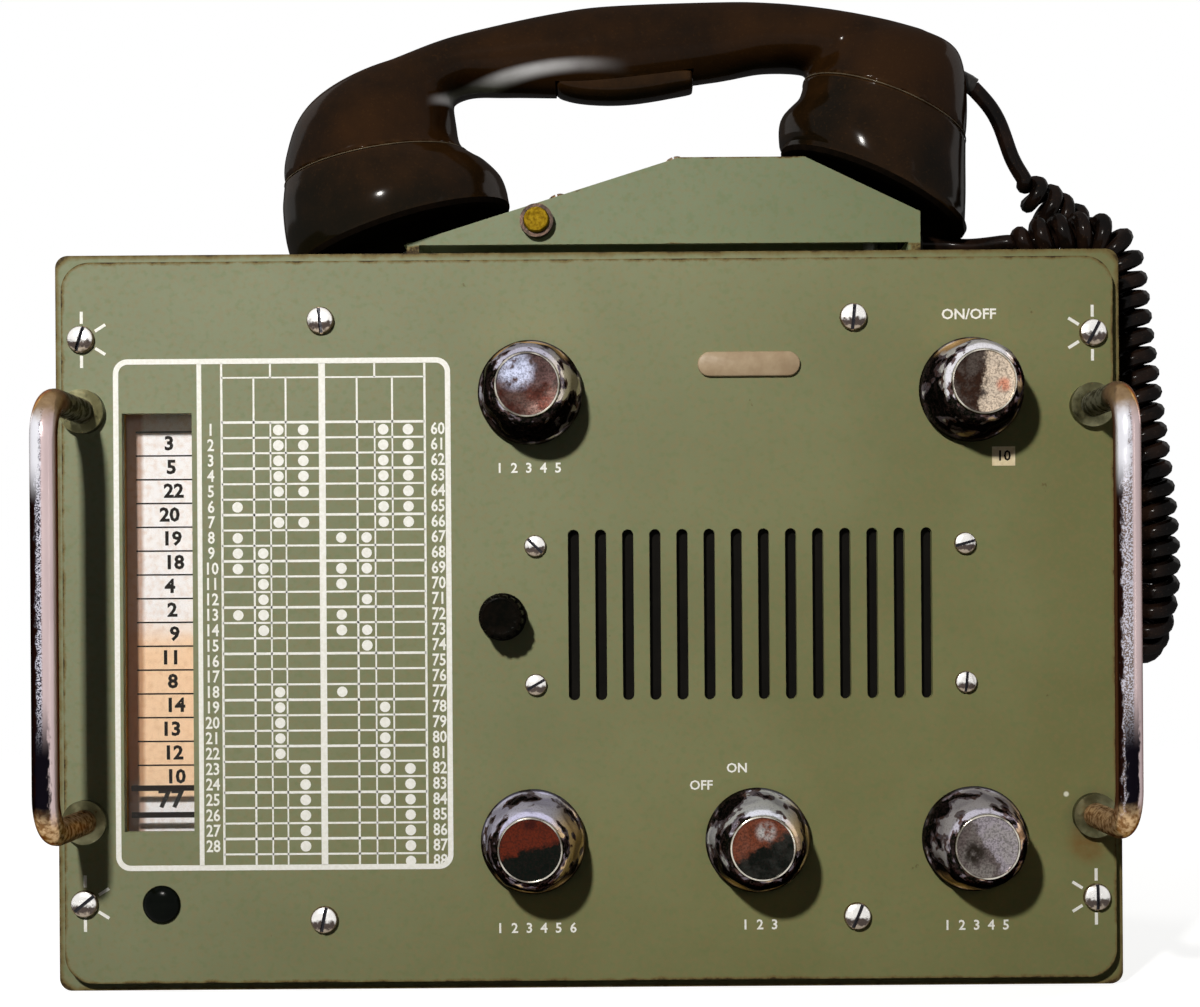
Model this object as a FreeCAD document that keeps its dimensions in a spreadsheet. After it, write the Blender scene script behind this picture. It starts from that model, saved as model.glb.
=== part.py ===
"""Marine VHF radiotelephone: olive cabinet, front panel with its controls, and a corded handset in a cradle.

Millimetres. The origin is the centre of the cabinet's bottom face, +Z is up, +X is to the right
of someone facing the set, and the front panel looks towards -Y.
"""

import FreeCAD
import Part
import Sketcher
import math
import os

from FreeCAD import Placement, Rotation, Vector

DRIVING_SIZES = (
    # cabinet and panel
    ("cabinet_width", 340.0),
    ("cabinet_height", 235.0),
    ("cabinet_depth", 150.0),
    ("cabinet_wall", 2.0),
    ("cabinet_corner", 4.0),
    ("flange_width", 14.0),
    ("screw_tab_width", 20.0),
    ("screw_tab_margin", 5.0),
    ("gasket_thickness", 1.0),
    ("gasket_inset", 1.0),
    ("panel_thickness", 3.0),
    ("panel_margin", 3.0),
    ("panel_corner", 9.0),
    ("screw_inset_across", 9.5),
    ("screw_inset_top", 27.5),
    ("screw_inset_bottom", 28.5),
    ("edge_screw_spacing", 169.0),
    ("edge_screw_inset_top", 22.0),
    ("edge_screw_inset_bottom", 23.0),
    ("panel_screw_radius", 2.5),
    ("panel_screw_head_radius", 4.3),
    ("panel_screw_head_height", 2.6),
    ("panel_screw_end", 4.0),
    ("screw_clearance", 0.2),
    # handles
    ("handle_rod_radius", 4.0),
    ("handle_inset", 10.0),
    ("handle_foot_bottom_inset", 54.5),
    ("handle_foot_top_inset", 50.5),
    ("handle_reach", 40.0),
    ("handle_bend_radius", 12.0),
    ("collar_radius", 7.0),
    ("collar_thickness", 3.0),
    ("bolt_head_radius", 4.6),
    ("bolt_head_height", 3.5),
    # channel window and dial drive
    ("window_inset", 33.2),
    ("window_bottom_inset", 51.0),
    ("window_top_inset", 51.0),
    ("window_width", 22.2),
    ("tray_sheet", 1.2),
    ("tray_depth", 11.0),
    ("tray_lap_across", 2.5),
    ("tray_lap_up", 6.0),
    ("tray_post_radius", 3.0),
    ("tray_post_inset", 4.0),
    ("pulley_plate_margin", 2.0),
    ("lens_thickness", 1.5),
    ("card_thickness", 0.8),
    ("card_clearance", 0.3),
    ("cursor_gap", 1.5),
    ("cursor_thickness", 2.0),
    ("cursor_height", 14.5),
    ("cursor_start_lift", 8.5),
    ("cursor_arm_height", 6.0),
    ("cursor_clip_width", 4.0),
    ("slide_clearance", 0.1),
    ("arm_slot_clearance", 0.4),
    ("drum_radius", 19.7),
    ("drum_thickness", 6.0),
    ("pulley_radius", 8.0),
    ("pulley_thickness", 4.0),
    ("wheel_rim", 1.2),
    ("pulley_pin_radius", 2.0),
    ("pulley_pin_length", 8.5),
    ("pulley_offset", 24.8),
    ("top_pulley_lift", 8.0),
    ("dial_cord_radius", 0.5),
    ("dial_cord_setback", 6.0),
    ("dial_cord_clearance", 0.3),
    # controls
    ("left_knob_column", -18.0),
    ("middle_knob_column", 53.0),
    ("right_knob_inset", 48.5),
    ("lower_knob_row", 47.5),
    ("upper_knob_inset", 45.5),
    ("squelch_column", -27.3),
    ("squelch_lift", 1.1),
    ("knob_radius", 16.5),
    ("knob_height", 23.5),
    ("knob_gap", 0.8),
    ("flute_radius", 5.6),
    ("flute_standoff", 2.9),
    ("small_knob_radius", 7.5),
    ("small_knob_height", 13.0),
    ("small_flute_radius", 0.95),
    ("small_flute_standoff", 0.25),
    ("spindle_radius", 3.0),
    ("press_clearance", 0.01),
    ("running_fit", 0.05),
    ("bush_radius", 4.75),
    ("bush_end", 0.3),
    ("bush_nut_radius", 8.0),
    ("small_bush_nut_radius", 5.6),
    ("bush_nut_thickness", 2.5),
    ("potentiometer_radius", 12.0),
    ("small_potentiometer_radius", 6.0),
    ("potentiometer_depth", 11.0),
    ("switch_plate_width", 38.0),
    ("switch_plate_height", 20.0),
    ("wafer_radius", 16.0),
    ("wafer_thickness", 1.6),
    ("wafer_spacing", 9.0),
    ("wafer_stud_radius", 1.5),
    ("wafer_stud_spacing", 26.0),
    ("selector_plate_width", 36.0),
    ("selector_plate_thickness", 2.0),
    ("selector_setback", 14.0),
    # loudspeaker
    ("grille_column", 51.3),
    ("grille_lift", 1.5),
    ("slot_width", 3.6),
    ("slot_height", 54.3),
    ("slot_pitch", 8.62),
    ("grille_screw_spacing", 136.4),
    ("grille_screw_rise", 44.0),
    ("grille_screw_radius", 1.75),
    ("grille_screw_head_radius", 3.44),
    ("grille_screw_head_height", 2.2),
    ("grille_screw_end", 2.0),
    ("cloth_thickness", 0.8),
    ("speaker_plate_thickness", 1.5),
    ("speaker_plate_margin_across", 4.0),
    ("speaker_plate_margin_up", 8.0),
    ("speaker_radius", 33.0),
    ("basket_depth", 18.0),
    ("basket_back_radius", 16.0),
    ("basket_wall", 1.5),
    ("cone_rim", 3.4),
    ("cone_cap_radius", 10.0),
    ("cone_cap_depth", 13.0),
    ("cone_paper", 0.5),
    ("voice_coil_radius", 9.0),
    ("magnet_radius", 23.0),
    ("magnet_depth", 20.0),
    # small trim on the panel
    ("nameplate_column", 51.5),
    ("nameplate_inset", 36.7),
    ("nameplate_width", 32.5),
    ("nameplate_height", 7.8),
    ("nameplate_thickness", 1.5),
    ("plug_inset", 33.8),
    ("plug_row", 28.1),
    ("plug_radius", 6.0),
    ("plug_stem_radius", 4.0),
    ("plug_stem_end", 1.5),
    # chassis, boards and rear fittings
    ("chassis_side_room", 20.0),
    ("chassis_front_room", 4.0),
    ("chassis_sheet", 1.5),
    ("chassis_lip", 24.0),
    ("bracket_width", 44.0),
    ("bracket_margin", 22.0),
    ("gusset_depth", 16.0),
    ("gusset_height", 40.0),
    ("board_post_radius", 4.0),
    ("board_post_inset", 10.0),
    ("board_rise", 12.0),
    ("board_side_room", 10.0),
    ("board_rear_room", 5.0),
    ("board_depth", 78.0),
    ("board_thickness", 1.6),
    ("transformer_width", 14.0),
    ("transformer_depth", 18.0),
    ("transformer_height", 12.0),
    ("capacitor_radius", 6.0),
    ("capacitor_height", 18.0),
    ("unit_side_room", 7.0),
    ("unit_rear_room", 13.0),
    ("unit_width", 88.0),
    ("unit_depth", 70.0),
    ("unit_height", 52.0),
    ("unit_gap", 15.0),
    ("unit_rib", 1.2),
    ("sink_width", 180.0),
    ("sink_bottom", 70.0),
    ("sink_top_inset", 45.0),
    ("sink_base", 4.0),
    ("fin_height", 20.0),
    ("fin_thickness", 2.2),
    ("rear_fitting_inset", 50.0),
    ("rear_fitting_row", 55.0),
    ("socket_radius", 7.9),
    ("socket_length", 12.0),
    ("socket_flange_width", 25.4),
    ("socket_flange_thickness", 2.0),
    ("socket_wall", 1.6),
    ("socket_insert_radius", 3.2),
    ("socket_contact_radius", 2.0),
    ("terminal_strip_width", 44.0),
    ("terminal_strip_height", 20.0),
    ("terminal_strip_depth", 9.0),
    ("terminal_spacing", 22.0),
    ("terminal_stud_radius", 2.5),
    ("terminal_stud_length", 9.0),
    ("terminal_nut_radius", 5.0),
    ("terminal_nut_thickness", 4.0),
    ("rear_stem_end", 8.0),
    # cradle
    ("cradle_front", -56.0),
    ("cradle_width", 44.0),
    ("cradle_left", -60.7),
    ("cradle_right", 110.0),
    ("cradle_crest_left", 30.6),
    ("cradle_crest_right", 71.8),
    ("cradle_crest_rise", 35.0),
    ("cradle_shoulder_rise", 16.6),
    ("cradle_foot", 6.5),
    ("cradle_foot_width", 4.0),
    ("cradle_toe", 8.0),
    ("cradle_sheet", 1.6),
    ("slope_screw_radius", 1.5),
    ("slope_screw_head_radius", 2.8),
    ("slope_screw_head_height", 2.0),
    ("slope_screw_length", 5.0),
    ("slope_screw_inset", 6.0),
    ("catch_column", -16.7),
    ("catch_rise", 13.9),
    ("catch_travel", 3.0),
    ("catch_head_radius", 4.25),
    ("catch_head_height", 2.2),
    ("catch_stem_radius", 2.5),
    ("catch_stem_end", 6.0),
    ("catch_keeper_radius", 4.0),
    ("catch_keeper_thickness", 1.5),
    ("catch_ring_wall", 1.15),
    ("catch_ring_height", 3.2),
    ("plunger_column", 97.0),
    ("plunger_radius", 3.0),
    ("plunger_rise", 21.9),
    ("plunger_below", 12.0),
    ("hook_switch_width", 20.0),
    ("hook_switch_depth", 14.0),
    ("hook_switch_height", 18.0),
    ("gland_rise", 10.0),
    ("gland_neck_radius", 3.6),
    ("gland_collar_radius", 5.5),
    ("gland_collar_length", 4.0),
    # handset
    ("handset_plane", -34.0),
    ("boss_radius", 19.0),
    ("capsule_radius", 24.0),
    ("capsule_height", 12.0),
    ("cap_face", 3.0),
    ("cap_clearance", 0.4),
    ("cord_sleeve_radius", 3.8),
    ("cord_sleeve_length", 7.0),
    ("talk_bar_left", -10.6),
    ("talk_bar_rise", 59.7),
    ("talk_bar_length", 46.5),
    ("talk_bar_width", 18.0),
    ("talk_bar_height", 8.0),
    ("talk_bar_travel", 3.0),
    ("talk_bar_clearance", 0.3),
    ("talk_bar_corner", 2.5),
    # mounts
    ("base_hole_inset_across", 11.0),
    ("base_hole_inset_deep", 25.0),
    ("base_hole_radius", 3.3),
    # handset cord
    ("cord_diameter", 4.8),
    ("coil_diameter", 15.5),
)

GRILLE_SLOTS = 14
KNOB_FLUTES = 8
SMALL_KNOB_FLUTES = 16
WAFERS = 4
TRANSFORMERS = 4
CAPACITORS = 6
UNIT_RIBS = 4
FINS = 14
# Angle of each panel screw's slot, then of each loudspeaker screw's, in degrees from level.
SLOT_TURNS = (20, -35, 80, 12, -60, 45, 5, 75)
GRILLE_SLOT_TURNS = (-60, 45, 5, 75)
# The cradle's two slope screws, across the set.
SLOPE_SCREWS = (-10.0, 29.0)
# A screw head's straight rim as a share of its height, and its crown and slot as shares of its radius.
SCREW_RIM = 0.4
SCREW_CROWN = 0.62
SCREW_SLOT = 0.26
# How far a cutter runs past the faces it opens.
PAST = 1.0
# How much of its shorter run an arc of a cord's path takes up at each end.
ARC_SHARE = 0.45

# Where the curly cord lies: it leaves the handset's right end, falls over the cabinet's corner,
# turns below the handle and comes back over the corner to the cradle.
HANDSET_LEAD = (
    (132.0, -34.0, 298.6),
    (137.0, -34.0, 293.6),
    (141.0, -33.6, 287.2),
    (143.6, -33.0, 280.0),
    (146.2, -31.7, 273.2),
    (150.0, -30.0, 268.6),
)
COIL = (
    (150.2, -29.9, 268.4),
    (157.5, -26.6, 259.6),
    (167.5, -22.5, 255.5),
    (176.5, -18.5, 247.0),
    (181.8, -15.5, 234.0),
    (184.0, -14.0, 216.0),
    (186.0, -13.2, 195.0),
    (188.0, -13.6, 170.0),
    (189.4, -13.2, 146.0),
    (190.0, -14.6, 127.0),
    (189.0, -22.0, 112.5),
    (188.0, -34.0, 107.0),
    (187.8, -45.5, 112.5),
    (188.8, -51.8, 127.0),
    (188.2, -53.0, 146.0),
    (185.6, -52.4, 170.0),
    (182.4, -52.0, 195.0),
    (180.2, -51.2, 214.0),
    (179.0, -51.0, 227.0),
    (177.6, -50.6, 237.5),
    (172.4, -50.2, 244.4),
    (162.0, -49.4, 245.4),
    (151.0, -47.4, 243.9),
    (142.0, -43.4, 243.7),
)
CABINET_LEAD = (
    (114.0, -34.0, 245.0),
    (120.5, -34.0, 245.0),
    (127.6, -36.2, 243.5),
    (134.8, -40.2, 243.2),
    (141.8, -43.31, 243.7),
)

# Each head as rings (across, height above the cabinet, radius, lean), from its face upwards.
# The cap is screwed on at SEAM_RING.
LEFT_HEAD = (
    (-63.2, 12.7, 38.3, -17.6),
    (-65.9, 21.3, 38.5, -17.6),
    (-70.6, 31.3, 36.5, -17.6),
    (-73.1, 36.0, 34.0, -17.6),
    (-75.4, 42.4, 33.0, -17.6),
    (-78.8, 52.8, 27.0, -17.6),
    (-81.2, 63.5, 18.0, -17.6),
    (-82.0, 70.2, 8.0, -17.6),
)
RIGHT_HEAD = (
    (97.0, 27.0, 34.5, 25.8),
    (97.5, 44.0, 33.1, 15.8),
    (101.0, 55.5, 29.6, 14.7),
    (104.3, 69.0, 26.4, 8.7),
    (106.0, 81.5, 20.5, 8.7),
    (106.0, 86.8, 12.0, 8.7),
)
LEFT_SEAM = 3
RIGHT_SEAM = 2
# The handle as ovals (across, height above the cabinet, half height, half width, climb).
HANDLE = (
    (-74.0, 55.5, 15.0, 19.0, 30.0),
    (-56.0, 65.3, 13.5, 17.0, 25.0),
    (-30.0, 74.3, 12.6, 15.5, 15.0),
    (8.0, 79.3, 13.6, 15.5, 5.0),
    (44.0, 80.7, 13.4, 15.5, -1.0),
    (66.0, 80.6, 11.6, 16.5, -4.0),
    (96.0, 73.5, 13.0, 17.5, -16.0),
)
# How far the round boss under each cap stands out.
LEFT_BOSS_HEIGHT = 5.9
RIGHT_BOSS_HEIGHT = 2.6

document = FreeCAD.newDocument("marine_radio")
sheet = document.addObject("Spreadsheet::Sheet", "Sizes")
nodes = []


# ---------------------------------------------------------------- sizes that carry their formula


class Size:
    """A length together with the sheet formula that gives it."""

    def __init__(self, value, formula):
        self.value = value
        self.formula = formula

    def combined(self, sign, other, value, swapped=False):
        """This size and another number or size, joined by one arithmetic sign."""
        left, right = (formula_of(other), self.formula) if swapped else (self.formula, formula_of(other))
        return Size(value, f"({left} {sign} {right})")

    def __add__(self, other):
        return self.combined("+", other, self.value + value_of(other))

    def __radd__(self, other):
        return self.combined("+", other, value_of(other) + self.value, swapped=True)

    def __sub__(self, other):
        return self.combined("-", other, self.value - value_of(other))

    def __rsub__(self, other):
        return self.combined("-", other, value_of(other) - self.value, swapped=True)

    def __mul__(self, other):
        return self.combined("*", other, self.value * value_of(other))

    def __rmul__(self, other):
        return self.combined("*", other, value_of(other) * self.value, swapped=True)

    def __truediv__(self, other):
        return self.combined("/", other, self.value / value_of(other))

    def __neg__(self):
        return Size(-self.value, f"(0 - {self.formula})")


def value_of(amount):
    """The plain number behind a size."""
    return amount.value if isinstance(amount, Size) else float(amount)


def formula_of(amount):
    """The text that the sheet works an amount out from."""
    return amount.formula if isinstance(amount, Size) else repr(float(amount))


def fill_sheet():
    """Write the driving sizes into the sheet, one row each, and return them by name."""
    for row, (alias, value) in enumerate(DRIVING_SIZES, start=1):
        sheet.set(f"A{row}", alias.replace("_", " "))
        sheet.set(f"B{row}", str(value))
        sheet.setAlias(f"B{row}", alias)
    document.recompute()
    return {alias: Size(float(sheet.get(alias)), f"Sizes.{alias}") for alias, _ in DRIVING_SIZES}


D = fill_sheet()

# Planes and lines that several pieces share.
half_width = D["cabinet_width"] / 2
half_depth = D["cabinet_depth"] / 2
cabinet_top = D["cabinet_height"]
inner_back = half_depth - D["cabinet_wall"]
panel_back = -half_depth - D["gasket_thickness"]
panel_front = panel_back - D["panel_thickness"]
flange_back = -half_depth + D["cabinet_wall"]
flange_rim = D["cabinet_wall"] + D["flange_width"]
handle_column = half_width - D["handle_inset"]
handle_feet = (D["handle_foot_bottom_inset"], cabinet_top - D["handle_foot_top_inset"])
window_across = D["window_inset"] - half_width
window_bottom = D["window_bottom_inset"]
window_top = cabinet_top - D["window_top_inset"]
tray_width = D["window_width"] + 2 * D["tray_lap_across"]
tray_height = window_top - window_bottom + 2 * D["tray_lap_up"]
tray_left = window_across - tray_width / 2
tray_right = window_across + tray_width / 2
tray_bottom = window_bottom - D["tray_lap_up"]
tray_floor_front = panel_back + D["tray_depth"]
cursor_front = panel_back + D["lens_thickness"] + D["cursor_gap"]
cursor_start = window_bottom + D["cursor_start_lift"]
dial_cord_plane = panel_back + D["dial_cord_setback"]
pulley_column = window_across + D["pulley_offset"]
lower_pulley_height = D["lower_knob_row"] - D["drum_radius"] + D["pulley_radius"]
top_pulley_height = window_top + D["top_pulley_lift"]
upper_knob_row = cabinet_top - D["upper_knob_inset"]
right_knob_column = half_width - D["right_knob_inset"]
knob_inside = panel_front - D["knob_height"] * 0.75
small_knob_inside = panel_front - D["small_knob_height"] * 0.75
bracket_front = panel_back + D["selector_setback"]
grille_row = cabinet_top / 2 + D["grille_lift"]
board_bottom = D["cabinet_wall"] + D["board_rise"]
plunger_hole_radius = D["plunger_radius"] + D["screw_clearance"]

FORWARD = Rotation(Vector(1, 0, 0), 90)
BACKWARD = Rotation(Vector(1, 0, 0), -90)
RIGHTWARD = Rotation(Vector(0, 1, 0), 90)


# ---------------------------------------------------------------- building blocks


def bind(thing, **amounts):
    """Give an object's properties their sizes, tied to the sheet."""
    for name, amount in amounts.items():
        setattr(thing, name, value_of(amount))
        if isinstance(amount, Size):
            thing.setExpression(name, amount.formula)
    return thing


def place(thing, at=(0, 0, 0), turned=None):
    """Put an object somewhere, tied to the sheet along each axis."""
    thing.Placement = Placement(Vector(*(value_of(c) for c in at)), turned or Rotation())
    for axis, amount in zip("xyz", at):
        if isinstance(amount, Size):
            thing.setExpression(f"Placement.Base.{axis}", amount.formula)
    return thing


def block(low, lengths):
    """A box from its low corner."""
    thing = document.addObject("Part::Box", "Block")
    bind(thing, Length=lengths[0], Width=lengths[1], Height=lengths[2])
    return place(thing, low)


def rod(start, radius, length, turned=None):
    """A cylinder that starts at a point and runs up, or along the way it is turned."""
    thing = document.addObject("Part::Cylinder", "Rod")
    bind(thing, Radius=radius, Height=length)
    return place(thing, start, turned)


def drill(start, radius, depth, turned=None):
    """The cutter for a round hole: a rod that runs a little past both faces."""
    heading = (turned or Rotation()).multVec(Vector(0, 0, 1))
    before = tuple(c - round(d) * PAST if round(d) else c for c, d in zip(start, heading))
    return rod(before, radius, depth + 2 * PAST, turned)


def cone(start, first_radius, last_radius, length, turned=None):
    """A cone that starts at a point and runs up, or along the way it is turned."""
    thing = document.addObject("Part::Cone", "Cone")
    bind(thing, Radius1=first_radius, Radius2=last_radius, Height=length)
    return place(thing, start, turned)


def hexagon(start, corner_radius, length, turned=None):
    """A six-sided bar."""
    thing = document.addObject("Part::Prism", "Hexagon")
    thing.Polygon = 6
    bind(thing, Circumradius=corner_radius, Height=length)
    return place(thing, start, turned)


def fused(pieces):
    """Several objects joined into one."""
    if len(pieces) == 1:
        return pieces[0]
    thing = document.addObject("Part::MultiFuse", "Joined")
    thing.Shapes = pieces
    return thing


def cut(base, tools):
    """An object with others taken out of it."""
    thing = document.addObject("Part::Cut", "Cut")
    thing.Base = base
    thing.Tool = fused(tools)
    return thing


def group(pieces):
    """Separate solids kept together under one name."""
    thing = document.addObject("Part::Compound", "Group")
    thing.Links = pieces
    return thing


def softened(base, radius, wanted):
    """An object with the edges that pass a test rounded."""
    document.recompute()
    numbers = [n for n, edge in enumerate(base.Shape.Edges, start=1) if wanted(edge)]
    thing = document.addObject("Part::Fillet", "Rounded")
    thing.Base = base
    thing.Edges = [(n, value_of(radius), value_of(radius)) for n in numbers]
    return thing


def runs_along(axis):
    """A test for straight edges that run along one axis."""
    direction = Vector(*axis)

    def test(edge):
        first, last = edge.Vertexes[0].Point, edge.Vertexes[-1].Point
        line = last - first
        straight = abs(edge.Length - line.Length) < 1e-6
        return straight and line.Length > 0 and abs(abs(line.normalize().dot(direction)) - 1) < 1e-6

    return test


def node(name, thing):
    """Name a finished piece; its name is also its file's name."""
    thing.Label = name
    nodes.append(thing)
    return thing


def origin_plane(body, role):
    """One of a body's own base planes."""
    return next(plane for plane in body.Origin.OriginFeatures if plane.Role == role)


def new_body(name, at=(0, 0, 0), turned=None):
    """An empty body, placed and named."""
    body = document.addObject("PartDesign::Body", name)
    place(body, at, turned)
    return body


def new_sketch(body, role):
    """A sketch on one of a body's own base planes."""
    sketch = body.newObject("Sketcher::SketchObject", "Sketch")
    sketch.AttachmentSupport = (origin_plane(body, role), [""])
    sketch.MapMode = "FlatFace"
    return sketch


def hold(sketch, kind, targets, amount):
    """Add one dimension to a sketch, tied to the sheet."""
    number = sketch.addConstraint(Sketcher.Constraint(kind, *targets, value_of(amount)))
    if isinstance(amount, Size):
        sketch.setExpression(f"Constraints[{number}]", amount.formula)


def hold_point(sketch, curve, which, point):
    """Fix a point of a curve by its two distances from the sketch's origin."""
    hold(sketch, "DistanceX", (-1, 1, curve, which), point[0])
    hold(sketch, "DistanceY", (-1, 1, curve, which), point[1])


def polygon(sketch, points):
    """A closed outline whose every corner is fixed."""
    corners = [Vector(value_of(x), value_of(y), 0) for x, y in points]
    count = len(corners)
    first = sketch.GeometryCount
    for n in range(count):
        sketch.addGeometry(Part.LineSegment(corners[n], corners[(n + 1) % count]), False)
    for n in range(count):
        sketch.addConstraint(Sketcher.Constraint("Coincident", first + n, 2, first + (n + 1) % count, 1))
    for n, point in enumerate(points):
        hold_point(sketch, first + n, 1, point)


def rectangle(sketch, centre, width, height):
    """A rectangle about a centre."""
    across, up = centre
    polygon(
        sketch,
        [
            (across - width / 2, up - height / 2),
            (across + width / 2, up - height / 2),
            (across + width / 2, up + height / 2),
            (across - width / 2, up + height / 2),
        ],
    )


def circle(sketch, centre, radius):
    """A circle about a centre."""
    middle = Vector(value_of(centre[0]), value_of(centre[1]), 0)
    number = sketch.addGeometry(Part.Circle(middle, Vector(0, 0, 1), value_of(radius)), False)
    hold_point(sketch, number, 3, centre)
    hold(sketch, "Radius", (number,), radius)


def upright_slot(sketch, centre, width, height):
    """A slot with round ends that stands on its end."""
    radius = value_of(width) / 2
    across = value_of(centre[0])
    reach = value_of(height) / 2 - radius
    up = value_of(centre[1])
    ends = [(up + reach, 0.0, math.pi), (up - reach, math.pi, 2 * math.pi)]
    upper, lower = [
        sketch.addGeometry(
            Part.ArcOfCircle(Part.Circle(Vector(across, end, 0), Vector(0, 0, 1), radius), start, stop), False
        )
        for end, start, stop in ends
    ]
    left = sketch.addGeometry(
        Part.LineSegment(Vector(across - radius, up + reach, 0), Vector(across - radius, up - reach, 0)), False
    )
    right = sketch.addGeometry(
        Part.LineSegment(Vector(across + radius, up - reach, 0), Vector(across + radius, up + reach, 0)), False
    )
    for one, other in ((upper, left), (left, lower), (lower, right), (right, upper)):
        sketch.addConstraint(Sketcher.Constraint("Tangent", one, 2, other, 1))
    hold_point(sketch, upper, 3, (centre[0], centre[1] + height / 2 - width / 2))
    hold_point(sketch, lower, 3, (centre[0], centre[1] - height / 2 + width / 2))
    hold(sketch, "Radius", (upper,), width / 2)


def pad(body, sketch, length):
    """Thicken a sketch into the body, along the sketch's normal."""
    feature = body.newObject("PartDesign::Pad", "Pad")
    feature.Profile = sketch
    return bind(feature, Length=length)


def turn(body, sketch):
    """Turn a sketch about its upright axis."""
    feature = body.newObject("PartDesign::Revolution", "Revolution")
    feature.Profile = sketch
    feature.ReferenceAxis = (sketch, ["V_Axis"])
    feature.Angle = 360.0
    return feature


def pierce(body, sketch, depth):
    """Cut a sketch into the body, the way its pad ran; it has to remove something."""
    document.recompute()
    before = body.Shape.Volume
    feature = body.newObject("PartDesign::Pocket", "Pocket")
    feature.Profile = sketch
    feature.Reversed = True
    bind(feature, Length=depth)
    document.recompute()
    if body.Shape.Volume >= before - 1e-6:
        raise RuntimeError(f"{body.Name}: a pocket removes nothing")
    return feature


def repeat_round(body, feature, sketch, count):
    """Repeat a feature evenly about a sketch's upright axis."""
    pattern = body.newObject("PartDesign::PolarPattern", "Around")
    pattern.Originals = [feature]
    pattern.Axis = (sketch, ["V_Axis"])
    pattern.Angle = 360.0
    pattern.Occurrences = count
    body.Tip = pattern
    return pattern


def round_corners(body, feature, radius, wanted):
    """Round the edges of the body so far that pass a test."""
    document.recompute()
    names = [f"Edge{n}" for n, edge in enumerate(feature.Shape.Edges, start=1) if wanted(edge)]
    corner = body.newObject("PartDesign::Fillet", "Corners")
    corner.Base = (feature, names)
    return bind(corner, Radius=radius)


def feature(name, shape, at=(0, 0, 0)):
    """A piece whose shape is worked out here and then placed."""
    thing = document.addObject("Part::Feature", name)
    thing.Shape = shape
    place(thing, at)
    return node(name, thing)


# ---------------------------------------------------------------- cabinet and panel


def edge_screw_places():
    """The four panel screws on the long edges."""
    across = D["edge_screw_spacing"] / 2
    top = cabinet_top - D["edge_screw_inset_top"]
    return [(side * across, up) for side in (-1, 1) for up in (D["edge_screw_inset_bottom"], top)]


def panel_screw_places():
    """The eight panel screws: four near the corners and four on the long edges."""
    across = half_width - D["screw_inset_across"]
    top = cabinet_top - D["screw_inset_top"]
    corners = [(side * across, up) for side in (-1, 1) for up in (D["screw_inset_bottom"], top)]
    return corners + edge_screw_places()


def handle_places():
    """The four feet of the two handles."""
    return [(side * handle_column, up) for side in (-1, 1) for up in handle_feet]


def grille_screw_places():
    """The four screws beside the loudspeaker slots."""
    across = D["grille_screw_spacing"] / 2
    rise = D["grille_screw_rise"] / 2
    return [(D["grille_column"] + side * across, grille_row + up * rise) for side in (-1, 1) for up in (-1, 1)]


def channel_spot():
    """Where the channel selector's spindle comes through."""
    return D["left_knob_column"], D["lower_knob_row"]


def bushed_controls():
    """Name and place of each control that is held in the panel by its own bush."""
    return (
        ("dimmer", (D["left_knob_column"], upper_knob_row)),
        ("on_off", (right_knob_column, upper_knob_row)),
        ("function", (D["middle_knob_column"], D["lower_knob_row"])),
        ("volume", (right_knob_column, D["lower_knob_row"])),
        ("squelch", (D["squelch_column"], cabinet_top / 2 + D["squelch_lift"])),
    )


def fastener_holes(front, depth):
    """Clearance holes for the panel screws and the handle bolts."""
    radius = D["panel_screw_radius"] + D["screw_clearance"]
    return [drill((x, front, z), radius, depth, BACKWARD) for x, z in panel_screw_places() + handle_places()]


def rounded_block(low, lengths, radius):
    """A box whose four front-to-back edges are rounded."""
    return softened(block(low, lengths), radius, runs_along((0, 1, 0)))


def mouth(front, depth):
    """The cutter for the opening behind the panel, which leaves a tab at each edge screw."""
    width = D["cabinet_width"] - 2 * flange_rim
    height = D["cabinet_height"] - 2 * flange_rim
    start = front - PAST
    through = depth + 2 * PAST
    opening = block((-half_width + flange_rim, start, flange_rim), (width, through, height))
    tabs = []
    for x, z in edge_screw_places():
        low = z - D["screw_tab_margin"]
        if value_of(z) < value_of(cabinet_top) / 2:
            low = flange_rim - PAST
        high = z + D["screw_tab_margin"]
        if value_of(z) > value_of(cabinet_top) / 2:
            high = cabinet_top - flange_rim + PAST
        left = x - D["screw_tab_width"] / 2
        tabs.append(block((left, start - PAST, low), (D["screw_tab_width"], through + 2 * PAST, high - low)))
    return cut(opening, tabs)


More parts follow.
